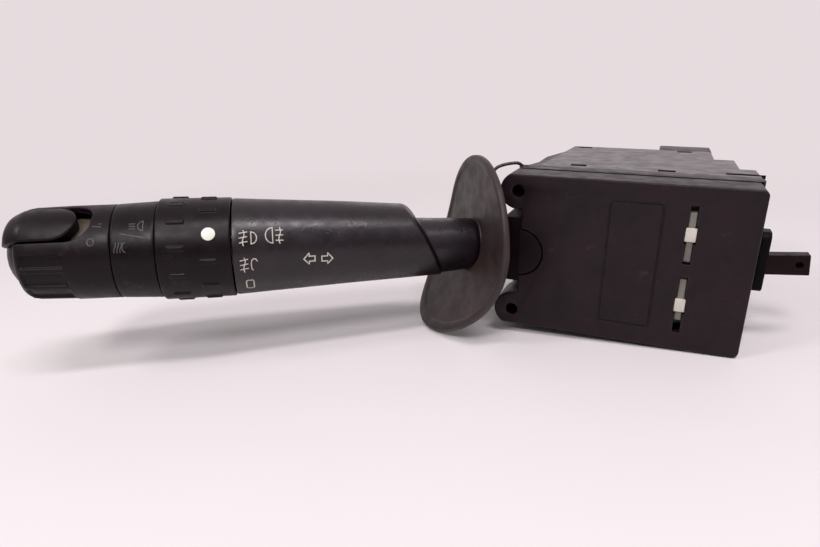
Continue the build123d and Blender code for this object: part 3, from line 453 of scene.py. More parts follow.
# Near-black brass for the fog contacts: painted shade of the ring gap they are seen through
GAP_SHADE_BRASS = metal("gap_shade_brass", (0.030, 0.020, 0.011), 0.55)
BRASS = metal("brass_strip", (0.72, 0.55, 0.28), 0.28)
STEEL = metal("bright_steel", (0.62, 0.62, 0.62), 0.25)
WIRE = metal("spring_wire", (0.48, 0.48, 0.50), 0.30)
INK = paint("white_ink", (0.56, 0.52, 0.46), 0.4)
WORN_INK = paint("worn_ink", (0.040, 0.033, 0.034), 0.8)

NODE_LOOKS = {
    "cover_plastic": COVER, "housing_plastic": HOUSING, "handle_plastic": RINGS,
    "shroud_plastic": SHROUD, "white_nylon": NYLON, "ivory_mark": IVORY, "board": BOARD,
    "brass": BRASS, "steel": STEEL, "spring_steel": WIRE, "lead_sheath": SHEATH,
    "grommet_rubber": SHEATH, "sleeve_plastic": KHAKI,
}
BODY_OF = {n: b for b, names in frame["record"]["behaviour"]["bodies"].items() for n in names}
SLOT_OF = {s["node"]: s["material_slot"] for s in frame["record"]["subparts"]}
for node, slot in SLOT_OF.items():
    materials = frame["nodes"][node].data.materials
    materials.clear()
    # The fog contacts get brass painted dark with the ring gap's shade
    materials.append(GAP_SHADE_BRASS if node == "fog_contacts" else NODE_LOOKS[slot])


def go_with(piece, node):
    """Let a piece ride with a node's body."""
    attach(piece, BODY_OF[node])


def stand_for(piece, node):
    """Let a piece take a node's place and body."""
    go_with(piece, node)
    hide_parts(node)
    return piece


def hang(part, on):
    """Make a part the child of the piece that it belongs to."""
    part.parent = on


# --- Switch box ---

def shadow_gap(work):
    """Step the cover's rim down along its joint with the housing."""
    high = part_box("front_cover")[1]
    start = high[1] - RIM[0] * MM
    for y in (start, start + 0.1 * MM):
        geom = list(work.verts) + list(work.edges) + list(work.faces)
        bmesh.ops.bisect_plane(work, geom=geom, dist=1e-7, plane_co=(0, y, 0), plane_no=(0, 1, 0))
    for v in work.verts:
        if v.co.y > start + 0.05 * MM:
            if abs(abs(v.co.z) - high[2]) < 0.1 * MM:
                v.co.z -= RIM[1] * MM * (1 if v.co.z > 0 else -1)
            if high[0] - v.co.x < 0.1 * MM:
                v.co.x -= RIM[1] * MM


def clip_slots(work):
    """Widen the lid's clip slots towards the front."""
    wide, deep = CLIP_SLOT
    for x, y in CLIP_SLOTS:
        for v in work.verts:
            front = abs(v.co.y / MM - (y - deep / 2)) < 0.05
            if front and abs(v.co.x / MM - x) < wide / 2 + 0.1:
                v.co.y -= CLIP_WIDER * MM


def cover_joint_shade():
    """Flat black strip in the joint behind the cover, which paints the joint's shade."""
    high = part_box("front_cover")[1]
    y0, y1 = high[1] - 0.15 * MM, high[1] + 0.28 * MM
    left, right, top = 2.0 * MM, high[0] - 0.12 * MM, high[2] - 0.10 * MM
    thick = 1.3 * MM
    rings = []
    for x, z in ((left, top), (right, top), (right, -top), (left, -top)):
        inner_z = z - thick if z > 0 else z + thick
        inner_x = x - thick if x == right else x
        rings.append([(x, y0, z), (x, y1, z), (inner_x, y1, inner_z), (inner_x, y0, inner_z)])
    # Painted shade: a flat black strip that stands for the shade in the cover's joint
    go_with(grid_piece("cover_joint_shade", rings, SHADE_BLACK, sharp=30), "main_housing")


def lid_slot_shade():
    """Flat black liners in the lid's slots and notch, which paint the shade inside them."""
    work = bmesh.new()
    low, high = (corner[2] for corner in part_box("top_panel"))
    base, top = low + 0.02 * MM, high - 0.12 * MM
    for x, y, wide, deep in [(x, y, *CLIP_SLOT) for x, y in CLIP_SLOTS] + [NOTCH]:
        back = (y + deep / 2) * MM
        front = back - 0.25 * MM
        bars = []
        for side in (-1, 1):
            edge = (x + side * (wide / 2 - 0.02)) * MM
            bars.append([(edge, front, base), (edge, back, base), (edge, back, top),
                         (edge, front, top)])
        add_grid(work, bars, False)
    # Painted shade: flat black liners for the shade in the slots
    go_with(closed_piece("lid_slot_shade", work, SHADE_BLACK, 30), "top_panel")


def slab(work, low, high, soft=0.2):
    """Add a block between two corners, whose outer edges along Z are chamfered."""
    (x0, y0, z0), (x1, y1, z1) = low, high
    rings = []
    for z, cut in ((z0, soft), (z0 + soft, 0.0), (z1 - soft, 0.0), (z1, soft)):
        rings.append([Vector(p) * MM for p in (
            (x0 + cut, y0 + cut, z), (x1 - cut, y0 + cut, z), (x1 - cut, y1 - cut, z),
            (x0 + cut, y1 - cut, z))])
    add_grid(work, rings, False)


def disc(work, centre, out, r, high):
    """Add a low disc with a soft rim on a flat wall."""
    centre, out = Vector(centre), Vector(out)
    side = out.orthogonal().normalized()
    up = out.cross(side)
    rings = []
    for radius, level in ((r, -0.2), (r, high - 0.1), (r - 0.1, high), (r - 0.5, high),
                          (r - 0.6, high - 0.15)):
        rings.append([(centre + out * level + radius * (side * cos(t) + up * sin(t))) * MM
                      for t in around(32, 2 * pi)])
    add_grid(work, rings, False)


def housing_details():
    """Ribs, pads and ejector marks on the housing's back, sides and floor."""
    rib_low, rib_high, rib_out, half = -19.5, 13.0, 0.9, 0.6
    pad_z, strip = 14.0, 10.5
    back_disc, side_disc, floor_disc = (2.4, 0.3), (2.0, 0.25), (2.2, 0.1)  # radius and height
    work = bmesh.new()
    ribs = (6.0, 13.4, 20.8, 28.2)
    for x in ribs:
        slab(work, (x - half, BACK - 0.3, rib_low), (x + half, BACK + rib_out, rib_high))
    slab(work, (ribs[0] - half, BACK - 0.3, rib_low - 2 * half),
         (ribs[-1] + half, BACK + rib_out, rib_low))
    for x in (36.0, 46.0):
        disc(work, (x, BACK, -pad_z), (0, 1, 0), *back_disc)
    for y, x in RIGHT_STEPS:
        for z in (pad_z, -pad_z):
            disc(work, (x, y, z), (1, 0, 0), *side_disc)
        slab(work, (x - 0.2, y - 0.5, -strip), (x + 0.3, y + 0.5, strip), 0.1)
    for x, y in ((10.0, 22.0), (46.0, 22.0), (10.0, 62.0), (44.0, 62.0)):
        disc(work, (x, y, FLOOR_Z), (0, 0, -1), *floor_disc)
    go_with(closed_piece("housing_ribs", work, HOUSING, 30), "main_housing")


def switch_box():
    """The box's mouldings with rounded edges, and what is added to them."""
    cover_joint_shade()
    lid_slot_shade()
    housing_details()
    for node, material, width, shape in (
        ("front_cover", COVER, 0.4, shadow_gap),
        ("main_housing", HOUSING, 0.2, None),
        ("top_panel", PANEL, 0.1, clip_slots),
        ("connector_shroud", HOUSING, 0.3, None),
        ("indicator_carrier", CARRIER, 0.25, None),
        ("cancel_finger", FINGER, 0.35, None),
        ("pawl_guide", NYLON, 0.15, None),
        ("upper_pawl", NYLON, 0.2, None),
        ("lower_pawl", NYLON, 0.2, None),
        ("lever_arm", HANDLE, 0.2, None),
    ):
        stand_for(softened(node, node + "_edges", material, width, shape), node)


# --- Handle ---

def neck_radius(angle, r):
    """Distance from the handle's axis to a circle about the neck's axis."""
    drop, a = NECK_LIFT - HANDLE_LIFT, radians(angle)
    return drop * sin(a) + sqrt(r * r - (drop * cos(a)) ** 2)


def grip_radius(s):
    """Outer radius of the tapered grip at a station."""
    return R_BODY + (R_HANDLE - R_BODY) * (s - S_BODY) / (S_FOG - S_BODY)


def handle_shell():
    """Slender neck that widens at a slanted shoulder into the tapered grip."""
    slant = (S_BODY - S_BODY_LOW) / (2 * R_BODY)
    middle = (S_BODY + S_BODY_LOW) / 2
    first, end = S_NECK + 0.25, S_FOG - RING_GAP
    crease, before, after = 0.6, 13, 26     # before and after: where the shear has faded out
    hollow = S_BODY + 4.4

    def lean(s, r, angle):
        """Station of a point, sheared along with the slanted shoulder."""
        fade = (s - middle) / after if s > middle else (middle - s) / before
        return s + slant * r * sin(radians(angle)) * (1 - ease(fade))

    def shoulder(angle):
        """(station before the shear, radius) points from the neck to the full grip."""
        round_off = 1.1 + 1.3 * ease((sin(radians(angle)) + 0.2) / 1.2)
        low = neck_radius(angle, R_NECK_END)
        high = grip_radius(middle + round_off)
        reach = min(round_off, (high - low) * 0.75)
        foot = min(low + crease, high - reach)
        points = []
        for i in range(7):
            t = radians(15 * i)
            points.append((middle - crease * (1 - sin(t)), low + (foot - low) * (1 - cos(t))))
        for i in range(1, 4):
            points.append((middle + 0.02 * i, foot + (high - reach - foot) * i / 3))
        for i in range(1, 13):
            t = radians(7.5 * i)
            points.append((middle + 0.06 + round_off * (1 - cos(t)), high - reach * (1 - sin(t))))
        return points

    columns = []
    for angle in around(288):
        bore = neck_radius(angle, ARM_R + 0.02)
        rim = [(S_NECK, neck_radius(angle, R_NECK - 0.25)), (first, neck_radius(angle, R_NECK))]
        outer = [(s, neck_radius(angle, r)) for s, r in
                 zip(steps(first, middle - crease, 14), steps(R_NECK, R_NECK_END, 14))][1:-1]
        outer += shoulder(angle)
        outer += [(s, grip_radius(s)) for s in steps(outer[-1][0], end - 0.35, 40)[1:]]
        outer += [(end - 0.1, R_HANDLE - 0.08), (end, R_HANDLE - 0.35)]
        inner = [(end, R_HANDLE - SHELL), (end - 6, R_HANDLE - SHELL), (hollow, R_BODY - SHELL),
                 (hollow, bore), (S_NECK, bore)]
        outer = [(lean(s, r, angle), r) for s, r in outer]
        columns.append([on_axis(s, angle, r) for s, r in rim + outer + inner])
    skin = grid_piece("handle_grip", zip(*columns), HANDLE, joined=True, sharp=50)
    stand_for(skin, "handle_shell")


# --- Rings ---

def fog_ring():
    """Fog-lamp ring: two rows of short ribs, rounded lips and a seat for the dot."""
    start, end = S_FOG + RING_GAP, S_LEGEND - RING_GAP
    step = 360 / FOG_RIBS
    height, half, flank = 0.45, 0.55, 0.4

    def rib(s, angle):
        """Height of the ribs over the ring's surface."""
        raised = 0.0
        for row, first in enumerate(FOG_RIB_S):
            along = band(s, first - 0.1, first + FOG_RIB_LENGTH + 0.1, 0.4)
            turn = (angle - DOT_ANGLE - (step / 2 if row else 0)) % 360
            off = (turn + step / 2) % step - step / 2
            at_dot = row == 0 and min(turn, 360 - turn) < step / 2
            across = radians(abs(off)) * R_FOG
            if not at_dot:
                raised = max(raised, height * along * ease((half + flank / 2 - across) / flank))
        return raised

    rings = []
    angles = around(540)
    for s in steps(start, end, 90):
        drop = rounding(min(s - start, end - s), LIP)
        rings.append([on_axis(s, a, R_FOG - drop + rib(s, a)) for a in angles])
    for s, r in ((end, R_FOG - SHELL), (start, R_FOG - SHELL)):
        rings.append([on_axis(s, a, r) for a in angles])
    skin = grid_piece("fog_ring_skin", rings, RINGS, joined=True, sharp=55)
    bore, hub, wall = SPINE_R + 0.06, SPINE_R + 1.6, R_FOG - SHELL - 0.01
    hub_s, web_s, web_end, hub_end = start + 0.6, start + 6, start + 9, start + 12.6
    hang(turned_piece("fog_ring_web", [
        (web_s, bore), (hub_s, bore), (hub_s, hub), (web_s, hub), (web_s, wall), (web_end, wall),
        (web_end, hub), (hub_end, hub), (hub_end, bore)], RINGS), skin)
    stand_for(skin, "fog_ring")


def fog_dot():
    """Inlaid index dot, crowned, and flush with the ring."""
    seat, crown, rounds = 1.7, 0.12, 9
    angle = radians(DOT_ANGLE)
    outward = DRIVER * cos(angle) + UPWARD * sin(angle)
    across = ALONG.cross(outward)
    centre = PIVOT + DOT_S * ALONG + HANDLE_LIFT * UPWARD

    def circle(radius, level):
        """Circle of points at a distance from the handle's axis."""
        ring = []
        for t in around(64, 2 * pi):
            u, v = radius * cos(t), radius * sin(t)
            sag = R_FOG - sqrt(R_FOG ** 2 - v * v)
            ring.append((centre + ALONG * u + across * v + outward * (level - sag)) * MM)
        return ring

    rings = [circle(seat, R_FOG - 1.1)]
    for i in range(rounds):
        t = radians(85 * i / (rounds - 1))
        inset = seat - 0.3 if i == rounds - 1 else 0.0
        rings.append(circle(seat - 0.15 * (1 - cos(t)) - inset, R_FOG - 0.02 + crown * sin(t)))
    stand_for(grid_piece("fog_dot_inlay", rings, IVORY, sharp=60), "fog_dot")


def legend_ring():
    """Fixed ring with a soft lip at each end."""
    profile = [(S_LEGEND, R_LEGEND - SHELL), (S_LEGEND, R_LEGEND - 0.3),
               (S_LEGEND + 0.1, R_LEGEND - 0.08), (S_LEGEND + 0.35, R_LEGEND - 0.01)]
    top = R_KNOB + 0.05
    profile += zip(steps(S_LEGEND + 0.35, S_KNOB - 0.35, 20)[1:],
                   steps(R_LEGEND - 0.01, top - 0.01, 20)[1:])
    profile += [(S_KNOB - 0.1, top - 0.09), (S_KNOB, top - 0.32), (S_KNOB, R_KNOB - SHELL)]
    skin = turned_piece("legend_skin", profile, RINGS, count=256, sharp=55)
    for name, material, s0, s1, r0, r1 in (
        ("legend_web", RINGS, 3, 5.4, SPINE_R + 0.02, R_LEGEND - SHELL - 0.01),
        # The spigot is a real part, given flat black that paints the shade of the gap between the
        # legend and fog rings
        ("legend_spigot", SHADE_BLACK, -1.2, 0.9, R_LEGEND - SHELL - 0.15, R_FOG - SHELL - 0.2),
    ):
        s0, s1 = S_LEGEND + s0, S_LEGEND + s1
        hang(turned_piece(name, [(s0, r0), (s0, r1), (s1, r1), (s1, r0)], material), skin)
    stand_for(skin, "legend_ring")


def knob_radius(s):
    """Outer radius of the light knob at a station."""
    return on_runs(((S_KNOB, R_KNOB), (S_GRIP, R_KNOB - 0.15), (S_GRIP_END - 3, R_KNOB - 0.45),
                    (S_GRIP_END - 1.4, R_KNOB - 0.75), (S_GRIP_END - 0.4, R_KNOB - 1.35),
                    (S_GRIP_END, R_KNOB - 2.1)), s)


def light_knob():
    """Rotary knob: scooped finger panels and a slot with a round inner end."""
    start = S_KNOB + RING_GAP
    bore = R_KNOB - 1.6
    middle = (HORN_A0 + HORN_A1) / 2
    clearance = 1.8     # of the slot, in degrees on each side
    half = radians((HORN_A1 - HORN_A0) / 2 + clearance) * R_KNOB
    edge_angle = degrees(half / R_KNOB)
    near = HORN_SLOT_S - 1.0
    panel_top, pitch, panels = 17.0, 26.0, 10
    ridge, flank, depth = 0.45, 0.55, 0.7

    angles = [a for a in around(480) if abs(abs((a - middle + 180) % 360 - 180) - edge_angle) > 1.5]
    for side in (-1, 1):
        for off in (-1.4, -1.1, -0.8, -0.5, -0.25, -0.1, -0.001, 0.001, 0.4, 0.8, 1.2, 1.45):
            angles.append((middle + side * (edge_angle + off)) % 360)
    angles.sort()

    def panel_depth(s, angle):
        """Depth of the finger panels, which are scooped between narrow ridges."""
        if (angle - panel_top) % 360 < 360 - panels * pitch:
            return 0.0
        across = radians((panel_top - angle) % pitch) * R_KNOB
        wide = radians(pitch) * R_KNOB
        sides = band(across, ridge, wide - ridge, flank)
        return depth * sides * band(s, S_GRIP - 0.3, S_GRIP_END - 1.2, 0.6)

    def from_slot(s, along):
        """Distance outside the slot's outline; along is measured round the knob."""
        nose = HORN_SLOT_S + half
        if s < nose:
            return hypot(nose - s, along) - half
        return abs(along) - half

    columns = []
    for angle in angles:
        along = radians((angle - middle + 180) % 360 - 180) * R_KNOB
        inside = abs(along) < half - 1e-4
        stop = HORN_SLOT_S + half
        if inside:
            stop -= sqrt(half * half - along * along)
        stations = steps(start + 0.3, near, 24)[:-1]
        stations += [near + (stop - near) * t ** 0.9 for t in steps(0, 1, 50)[:-1]]
        stations += steps(stop, stop if inside else S_GRIP_END, 50)
        column = [(start, bore), (start, R_KNOB - 0.3), (start + 0.1, R_KNOB - 0.08)]
        column += [(s, knob_radius(s) - panel_depth(s, angle) - rounding(from_slot(s, along), LIP))
                   for s in stations]
        rim = [(S_GRIP_END, R_KNOB - 2.32), (S_GRIP_END, bore - 0.9), (S_GRIP_END - 4, bore - 0.6),
               (S_GRIP_END - 8, bore)]
        if inside:
            top = column[-1][1]
            rim = [(stop, top - 0.05), (stop, bore), (stop, bore), (stop, bore)]
        columns.append([on_axis(s, angle, r) for s, r in column + rim])
    skin = grid_piece("knob_grip", zip(*columns), KNOB, joined=True, sharp=60)
    hole, hub, wall = SPINE_R + 0.06, SPINE_R + 1.6, bore - 0.01
    hub_s, web_s, web_end = start + 1.2, start + 2.2, start + 5.2
    hang(turned_piece("knob_web", [
        (start, hole), (hub_s, hub), (web_s, hub), (web_s, wall), (web_end, wall),
        (web_end, hole)], KNOB), skin)
    stand_for(skin, "light_knob")


def rounded(points, parts=3):
    """Corner-cutting curve through a profile, which keeps its ends."""
    for _ in range(parts):
        cut = [points[0]]
        for (x0, y0), (x1, y1) in zip(points, points[1:]):
            cut += [(0.75 * x0 + 0.25 * x1, 0.75 * y0 + 0.25 * y1),
                    (0.25 * x0 + 0.75 * x1, 0.25 * y0 + 0.75 * y1)]
        points = cut + [points[-1]]
    return points


def horn_push():
    """Horn push: nose cap, guide stem and a long crowned thumb lobe with a round end."""
    cap_r, stem_r = R_KNOB - 3.0, 2.92
    back, tip = S_GRIP_END - 2.4, S_TIP + NOSE
    outline = ((S_GRIP_END - 1.6, cap_r + 0.1), (S_GRIP_END - 0.3, cap_r - 0.05),
               (S_GRIP_END + 0.8, cap_r - 0.8), (S_GRIP_END + 2.2, cap_r - 2.3),
               (S_GRIP_END + 3.3, cap_r - 4.0), (tip - 0.25, cap_r - 5.6), (tip, cap_r - 7.2),
               (tip, 0.6))
    profile = [(S_KNOB + 0.6, stem_r), (back, stem_r), (back, cap_r - 0.4),
               (back + 0.3, cap_r - 0.1), *rounded(outline)]
    cap = turned_piece("horn_nose", profile, KNOB, count=192, joined=False, sharp=50)

    middle = (HORN_A0 + HORN_A1) / 2
    half = radians((HORN_A1 - HORN_A0) / 2) * R_KNOB
    nose_s = HORN_LOBE_S + half
    last = tip - 0.15
    tail, tail_round = last - 1.6, 1.0
    crown, soft = 0.50, 0.55
    rows, count, side_count = 96, 72, 12
    falls = ((133.6, 0.0), (136.6, 0.35), (138.0, 1.0), (139.5, 1.8), (140.7, 3.1),
             (tip - 0.5, 4.5), (tip, 6.5))     # station, and drop of the lobe's top there

    def half_width(s):
        """Half the lobe's width at a station: round at the inner end, eased at the tip."""
        if s < nose_s:
            return sqrt(max(half * half - (nose_s - s) ** 2, 1e-4))
        if s > tail:
            return half - tail_round * (1 - sqrt(max(1 - ((s - tail) / (last - tail)) ** 2, 0.0)))
        return half

    def surface(s, along, level):
        """Point of the lobe: level 1 is its crowned top and 0 its flat underside."""
        inset = half - hypot(max(nose_s - s, 0.0), along) if s < nose_s else half - abs(along)
        flat = crown * (1 - min(max(inset, 0.0) / half, 1.0)) ** 2
        top = R_KNOB + HORN_RAISE - flat - rounding(inset, soft)
        top -= sum(on_runs(falls, s + off) for off in (-0.5, 0.0, 0.5)) / 3
        low = SPINE_R + 1.8
        return on_axis(s, middle + degrees(along / R_KNOB), low + (top - low) * level)

    rings = []
    for k in range(rows + 1):
        s = HORN_LOBE_S + (last - HORN_LOBE_S) * (1 - cos(pi * k / rows)) / 2
        width = half_width(s)
        ring = [surface(s, sin(radians(a)) * width, 1.0) for a in steps(-90, 90, count)]
        ring += [surface(s, width * cos(pi * i / side_count),
                         0.0 if 1 < i < side_count - 1 else 0.02) for i in range(1, side_count)]
        rings.append(ring)
    lobe = grid_piece("horn_lobe", rings, KNOB, joined=False, sharp=60)
    hang(lobe, cap)
    stand_for(cap, "horn_button")


# --- Printed marks ---

def arc(x, y, rx, ry, a0, a1, count=12):
    """Points of an elliptical arc between two angles in degrees."""
    turn = [radians(a) for a in steps(a0, a1, count)]
    return [(x + rx * cos(t), y + ry * sin(t)) for t in turn]


def divided(points, step=0.4):
    """Polyline with its long runs divided."""
    fine = [points[0]]
    for (x0, y0), (x1, y1) in zip(points, points[1:]):
        parts = max(1, round(hypot(x1 - x0, y1 - y0) / step))
        fine += [(x0 + (x1 - x0) * i / parts, y0 + (y1 - y0) * i / parts)
                 for i in range(1, parts + 1)]
    return fine


def mitres(points, closed):
    """Sideways vector at each point, longer where the stroke turns."""
    units = []
    for (x0, y0), (x1, y1) in zip(points, points[1:]):
        run = hypot(x1 - x0, y1 - y0)
        units.append(((y0 - y1) / run, (x1 - x0) / run))
    sides = []
    for i in range(len(points)):
        a = units[i - 1] if i else units[-1 if closed else 0]
        b = units[i] if i < len(units) else units[0 if closed else -1]
        x, y = a[0] + b[0], a[1] + b[1]
        size = max(hypot(x, y) ** 2 / 2, 0.7)
        sides.append((x / size, y / size))
    return sides


def printed(name, node, strokes, at, radius, material, width):
    """Thin strokes of ink on the stalk, from (right, up) points in millimetres."""
    s0, angle0 = at
    raised, sunk = 0.03, -0.1
    work = bmesh.new()
    for points in strokes:
        fine = divided(points)
        closed = hypot(fine[0][0] - fine[-1][0], fine[0][1] - fine[-1][1]) < 0.01
        rings = []
        for (x, y), (u, v) in zip(fine, mitres(fine, closed)):
            ring = []
            for side, lift in ((-1, sunk), (-1, raised), (1, raised), (1, sunk)):
                s = s0 - x - side * u * width / 2
                turn = degrees((y + side * v * width / 2) / radius(s))
                ring.append(on_axis(s, angle0 + turn, radius(s) + lift))
            rings.append(ring)
        add_grid(work, rings[:-1] if closed else rings, closed)
    go_with(closed_piece(name, work, material, 60), node)


def lamp_shape(x, height, depth):
    """Outline of a lamp: a flat glass at x and a bowl of a depth, which may be to the left."""
    bowl = arc(x, 0, depth, height / 2, 90, -90)
    return bowl + [bowl[0]]


def beams(x0, x1, gap, slope):
    """Three beams of light between two places, spaced by a gap."""
    return [[(x0, y), (x1, y + slope)] for y in (-gap, 0, gap)]


def wave(x, height, lean, swing):
    """Wavy upright line that stands for fog."""
    return [(x + lean * t + swing * sin(2 * pi * t), height * t)
            for t in (i / 12 - 0.5 for i in range(13))]


def arrow(side):
    """Outline of a direction arrow that points left, -1, or right, 1."""
    points = [(1.5, 0), (0.1, 1.6), (0.1, 0.7), (-1.4, 0.7), (-1.4, -0.7), (0.1, -0.7),
              (0.1, -1.6), (1.5, 0)]
    return [[(side * x, y) for x, y in points]]


def rounded_box(wide, high, r):
    """Outline of a box with round corners."""
    points = []
    for x, y, start in ((1, 1, 0), (-1, 1, 90), (-1, -1, 180), (1, -1, 270)):
        points += arc(x * (wide / 2 - r), y * (high / 2 - r), r, r, start, start + 90, 4)
    return points + [points[0]]


def legend_radius(s):
    """Outer radius of the legend ring at a station."""
    return R_LEGEND + (R_KNOB + 0.05 - R_LEGEND) * (s - S_LEGEND) / (S_KNOB - S_LEGEND)


def marks():
    """Generic lamp and turn symbols on the grip, and rubbed ones on the rings."""
    fine, bold, faint = 0.25, 0.31, 0.26
    fog = beams(-2.4, -0.3, 1.25, 0.35) + [wave(-1.3, 4.2, 0.0, 0.24)]
    rear = beams(0.35, 2.3, 1.35, 0.0) + [wave(1.4, 4.4, 0.0, 0.24)]
    hook = [(2.0, 0.9), (1.6, 1.55), (1.0, 1.65), (0.55, 1.2), (0.4, 0.2), (0.45, -1.0),
            (0.85, -1.6)]
    for name, strokes, at, width in (
        ("front_fog", fog + [lamp_shape(0.6, 3.1, 1.4)], (82.8, 24.9), fine),
        ("rear_fog", rear + [lamp_shape(-0.4, 4.1, -1.8)], (76.4, 27.3), fine),
        ("side_fog", fog + [hook], (82.9, -6.4), fine),
        ("off", [rounded_box(1.9, 3.5, 0.5)], (83.2, -35.5), bold),
        ("left", arrow(-1), (67.6, -3.2), bold),
        ("right", arrow(1), (63.0, -4.1), bold),
    ):
        printed("mark_" + name, "handle_shell", strokes, at, grip_radius, INK, width)
    main_beam = [lamp_shape(0.3, 2.7, -1.2)[::-1], [(0.3, 1.35), (0.3, -1.35)]]
    waves = [wave(x, 2.6, 0.3, 0.15) for x in (-1.2, -0.5, 0.2)]
    for name, node, radius, strokes, at in (
        ("main_beam", "legend_ring", legend_radius, main_beam + beams(-3.0, -1.5, 0.7, 0.0),
         (108.4, 44.0)),
        ("side_lamps", "legend_ring", legend_radius, waves + [arc(1.2, 0, 0.7, 1.2, 90, 270)],
         (113.4, 19.5)),
        ("line", "legend_ring", legend_radius, [[(-2.7, 0.7), (2.7, -0.6)]], (110.7, 32.4)),
        ("ring", "light_knob", knob_radius, [arc(0, 0, 0.75, 0.9, 0, 360, 16)], (120.1, 27.0)),
    ):
        printed("mark_" + name, node, strokes, at, radius, WORN_INK, faint)
    printed("mark_dash", "light_knob", [[(-1.2, 0.2), (0.9, 0.0)], [(0.2, 0.9), (0.9, 0.9)]],
            (118.7, 45.5), knob_radius, WORN_INK, 0.24)


# --- Shroud ---

def shroud():
    """Round plate, flat at the top and curled towards the driver at the bottom."""
    up = UPWARD * cos(CURL_TWIST) + DRIVER * sin(CURL_TWIST)

    def sheet(x, y, lift):
        """Point of the sheet under (x, y), lifted off its back face along its normal."""
        height = y * cos(CURL_TWIST) + x * sin(CURL_TWIST)
        depth, slope = 0.0, 0.0
        if height < CURL_START:
            slope = asin(min((CURL_START - height) / CURL_R, 1.0))
            depth = CURL_R * (1 - cos(slope))
        place = stalk_point(S_SHROUD + depth, x, NECK_LIFT + y)
        normal = ALONG * cos(slope) + up * sin(slope)
        return place + normal * lift * MM

    bore = R_NECK + 0.4
    bead = SHROUD_T + 0.45
    rim = [(R_SHROUD - 2.5, SHROUD_T), (R_SHROUD - 2.2, SHROUD_T + 0.08),
           (R_SHROUD - 1.9, bead - 0.08), (R_SHROUD - 1.6, bead), (R_SHROUD - 0.55, bead - 0.05),
           (R_SHROUD - 0.2, bead - 0.2), (R_SHROUD - 0.03, bead - 0.5), (R_SHROUD, SHROUD_T / 2),
           (R_SHROUD - 0.05, 0.3), (R_SHROUD - 0.2, 0.08), (R_SHROUD - 0.45, 0.0)]
    front = [(r, SHROUD_T) for r in steps(bore, R_SHROUD - 2.8, 22)]
    back = [(r, 0.0) for r in steps(R_SHROUD - 0.45, 9.0, 16)[1:]]
    angles = around(240, 2 * pi)
    rings = [[sheet(r * cos(a), r * sin(a), lift) for a in angles]
             for r, lift in front + rim + back]
    hub_back, hub_front, hub_r, hole = S_SHROUD - 1.8, S_NECK - 0.4, 8.85, ARM_R + 0.02
    for s, r in ((hub_back, hub_r), (hub_back, hole), (hub_front, hole), (hub_front, bore)):
        rings.append([stalk_point(s, r * cos(a), NECK_LIFT + r * sin(a)) for a in angles])
    stand_for(grid_piece("shroud_skin", rings, SHROUD, joined=True, sharp=50), "shroud")


# --- Springs and lead ---

SPRINGS = (("horn_spring", "horn_press", 2.5), ("detent_spring", "detent_press", 1.0),
           ("upper_pawl_spring", "upper_pawl_slide", 2.0),
           ("lower_pawl_spring", "lower_pawl_slide", 2.0))      # node, joint, its travel


def springs():
    """Coil springs, each on its own copy of its CAD node's mesh."""
    axes = {j["name"]: Vector(j["axis"]) for j in frame["record"]["behaviour"]["joints"]}
    for node, joint, travel in SPRINGS:
        mesh = frame["nodes"][node].data.copy()
        coil = stand_for(finish_mesh(node + "_coil", mesh, WIRE, 40), node)
        places = [v.co.dot(axes[joint]) for v in mesh.vertices]
        anchor = mesh.vertices[places.index(max(places))].co
        tuple(axes[joint])
        tuple(anchor)
        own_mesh(coil)


WIRE_ROUTE = ((-7.95, 9.4, 1.5), (-8.4, 9.8, 8.6), (-10.5, 10.8, 15.0), (-10.9, 12.2, 20.9),
              (-7.6, 13.5, 22.6), (-1.8, 15.4, 23.2), (-1.0, 16.2, 17.0))
WIRE_R, WIRE_LENGTH = 0.48, 34.8


def stalk_lead():
    """Lead from the arm into the housing's roof, on the route's points."""
    curve = bpy.data.curves.new("stalk_lead_run", "CURVE")
    curve.dimensions = "3D"
    curve.bevel_depth = WIRE_R * MM
    curve.bevel_resolution = 6
    curve.resolution_u = 24
    curve.use_fill_caps = True
    spline = curve.splines.new("NURBS")
    spline.points.add(len(WIRE_ROUTE) - 1)
    for point, place in zip(spline.points, WIRE_ROUTE):
        point.co = (*(Vector(place) * MM), 1.0)
    spline.order_u = 3
    spline.use_endpoint_u = True
    curve.materials.append(SHEATH)
    lead = add_object("stalk_lead_run", curve)
    tuple(Vector(WIRE_ROUTE[0]) * MM)
    stand_for(lead, "stalk_lead")


# --- Stage ---

BACKGROUND = rgb(0.795, 0.715, 0.735)
FLOOR, FLOOR_LIGHT = rgb(0.875, 0.825, 0.83), rgb(0.905, 0.855, 0.86)
FLOOR_MIDDLE, FLOOR_FADE = (-0.03, -0.02, -0.02), (0.10, 0.42)
SKY, SKY_COLOUR, SKY_FADE = 0.38, rgb(1.0, 0.955, 0.97), (-0.5, 0.6, 0.35, 1.0)
SKY_TOWARDS = (0.0, 0.65, 0.76)

# Name, place and aim in metres, size, power in watts, and colour
LAMPS = (
    ("key", (0.03, -0.60, 0.58), (-0.02, 0.0, 0.0), (0.18, 0.18), 2.5, (1.0, 0.97, 0.98)),
    ("left", (-0.54, -0.50, 0.60), (-0.02, 0.0, 0.0), (0.18, 0.18), 1.5, (1.0, 0.97, 0.98)),
    ("above", (0.15, -0.25, 0.74), (-0.04, 0.0, 0.0), (0.42, 0.10), 2.4, (1.0, 0.95, 0.99)),
    ("behind", (0.05, 0.75, 0.36), (0.0, 0.0, 0.0), (0.90, 0.10), 0.55, (1.0, 0.96, 0.98)),
)

CAMERA = Vector((35.05, -156.56, 48.31))
YAW, PITCH, ROLL = radians(-23.3372), radians(19.1566), radians(-0.1408)
FOCAL_PX, WIDTH_PX, SENSOR = 578.952, 820, 36.0


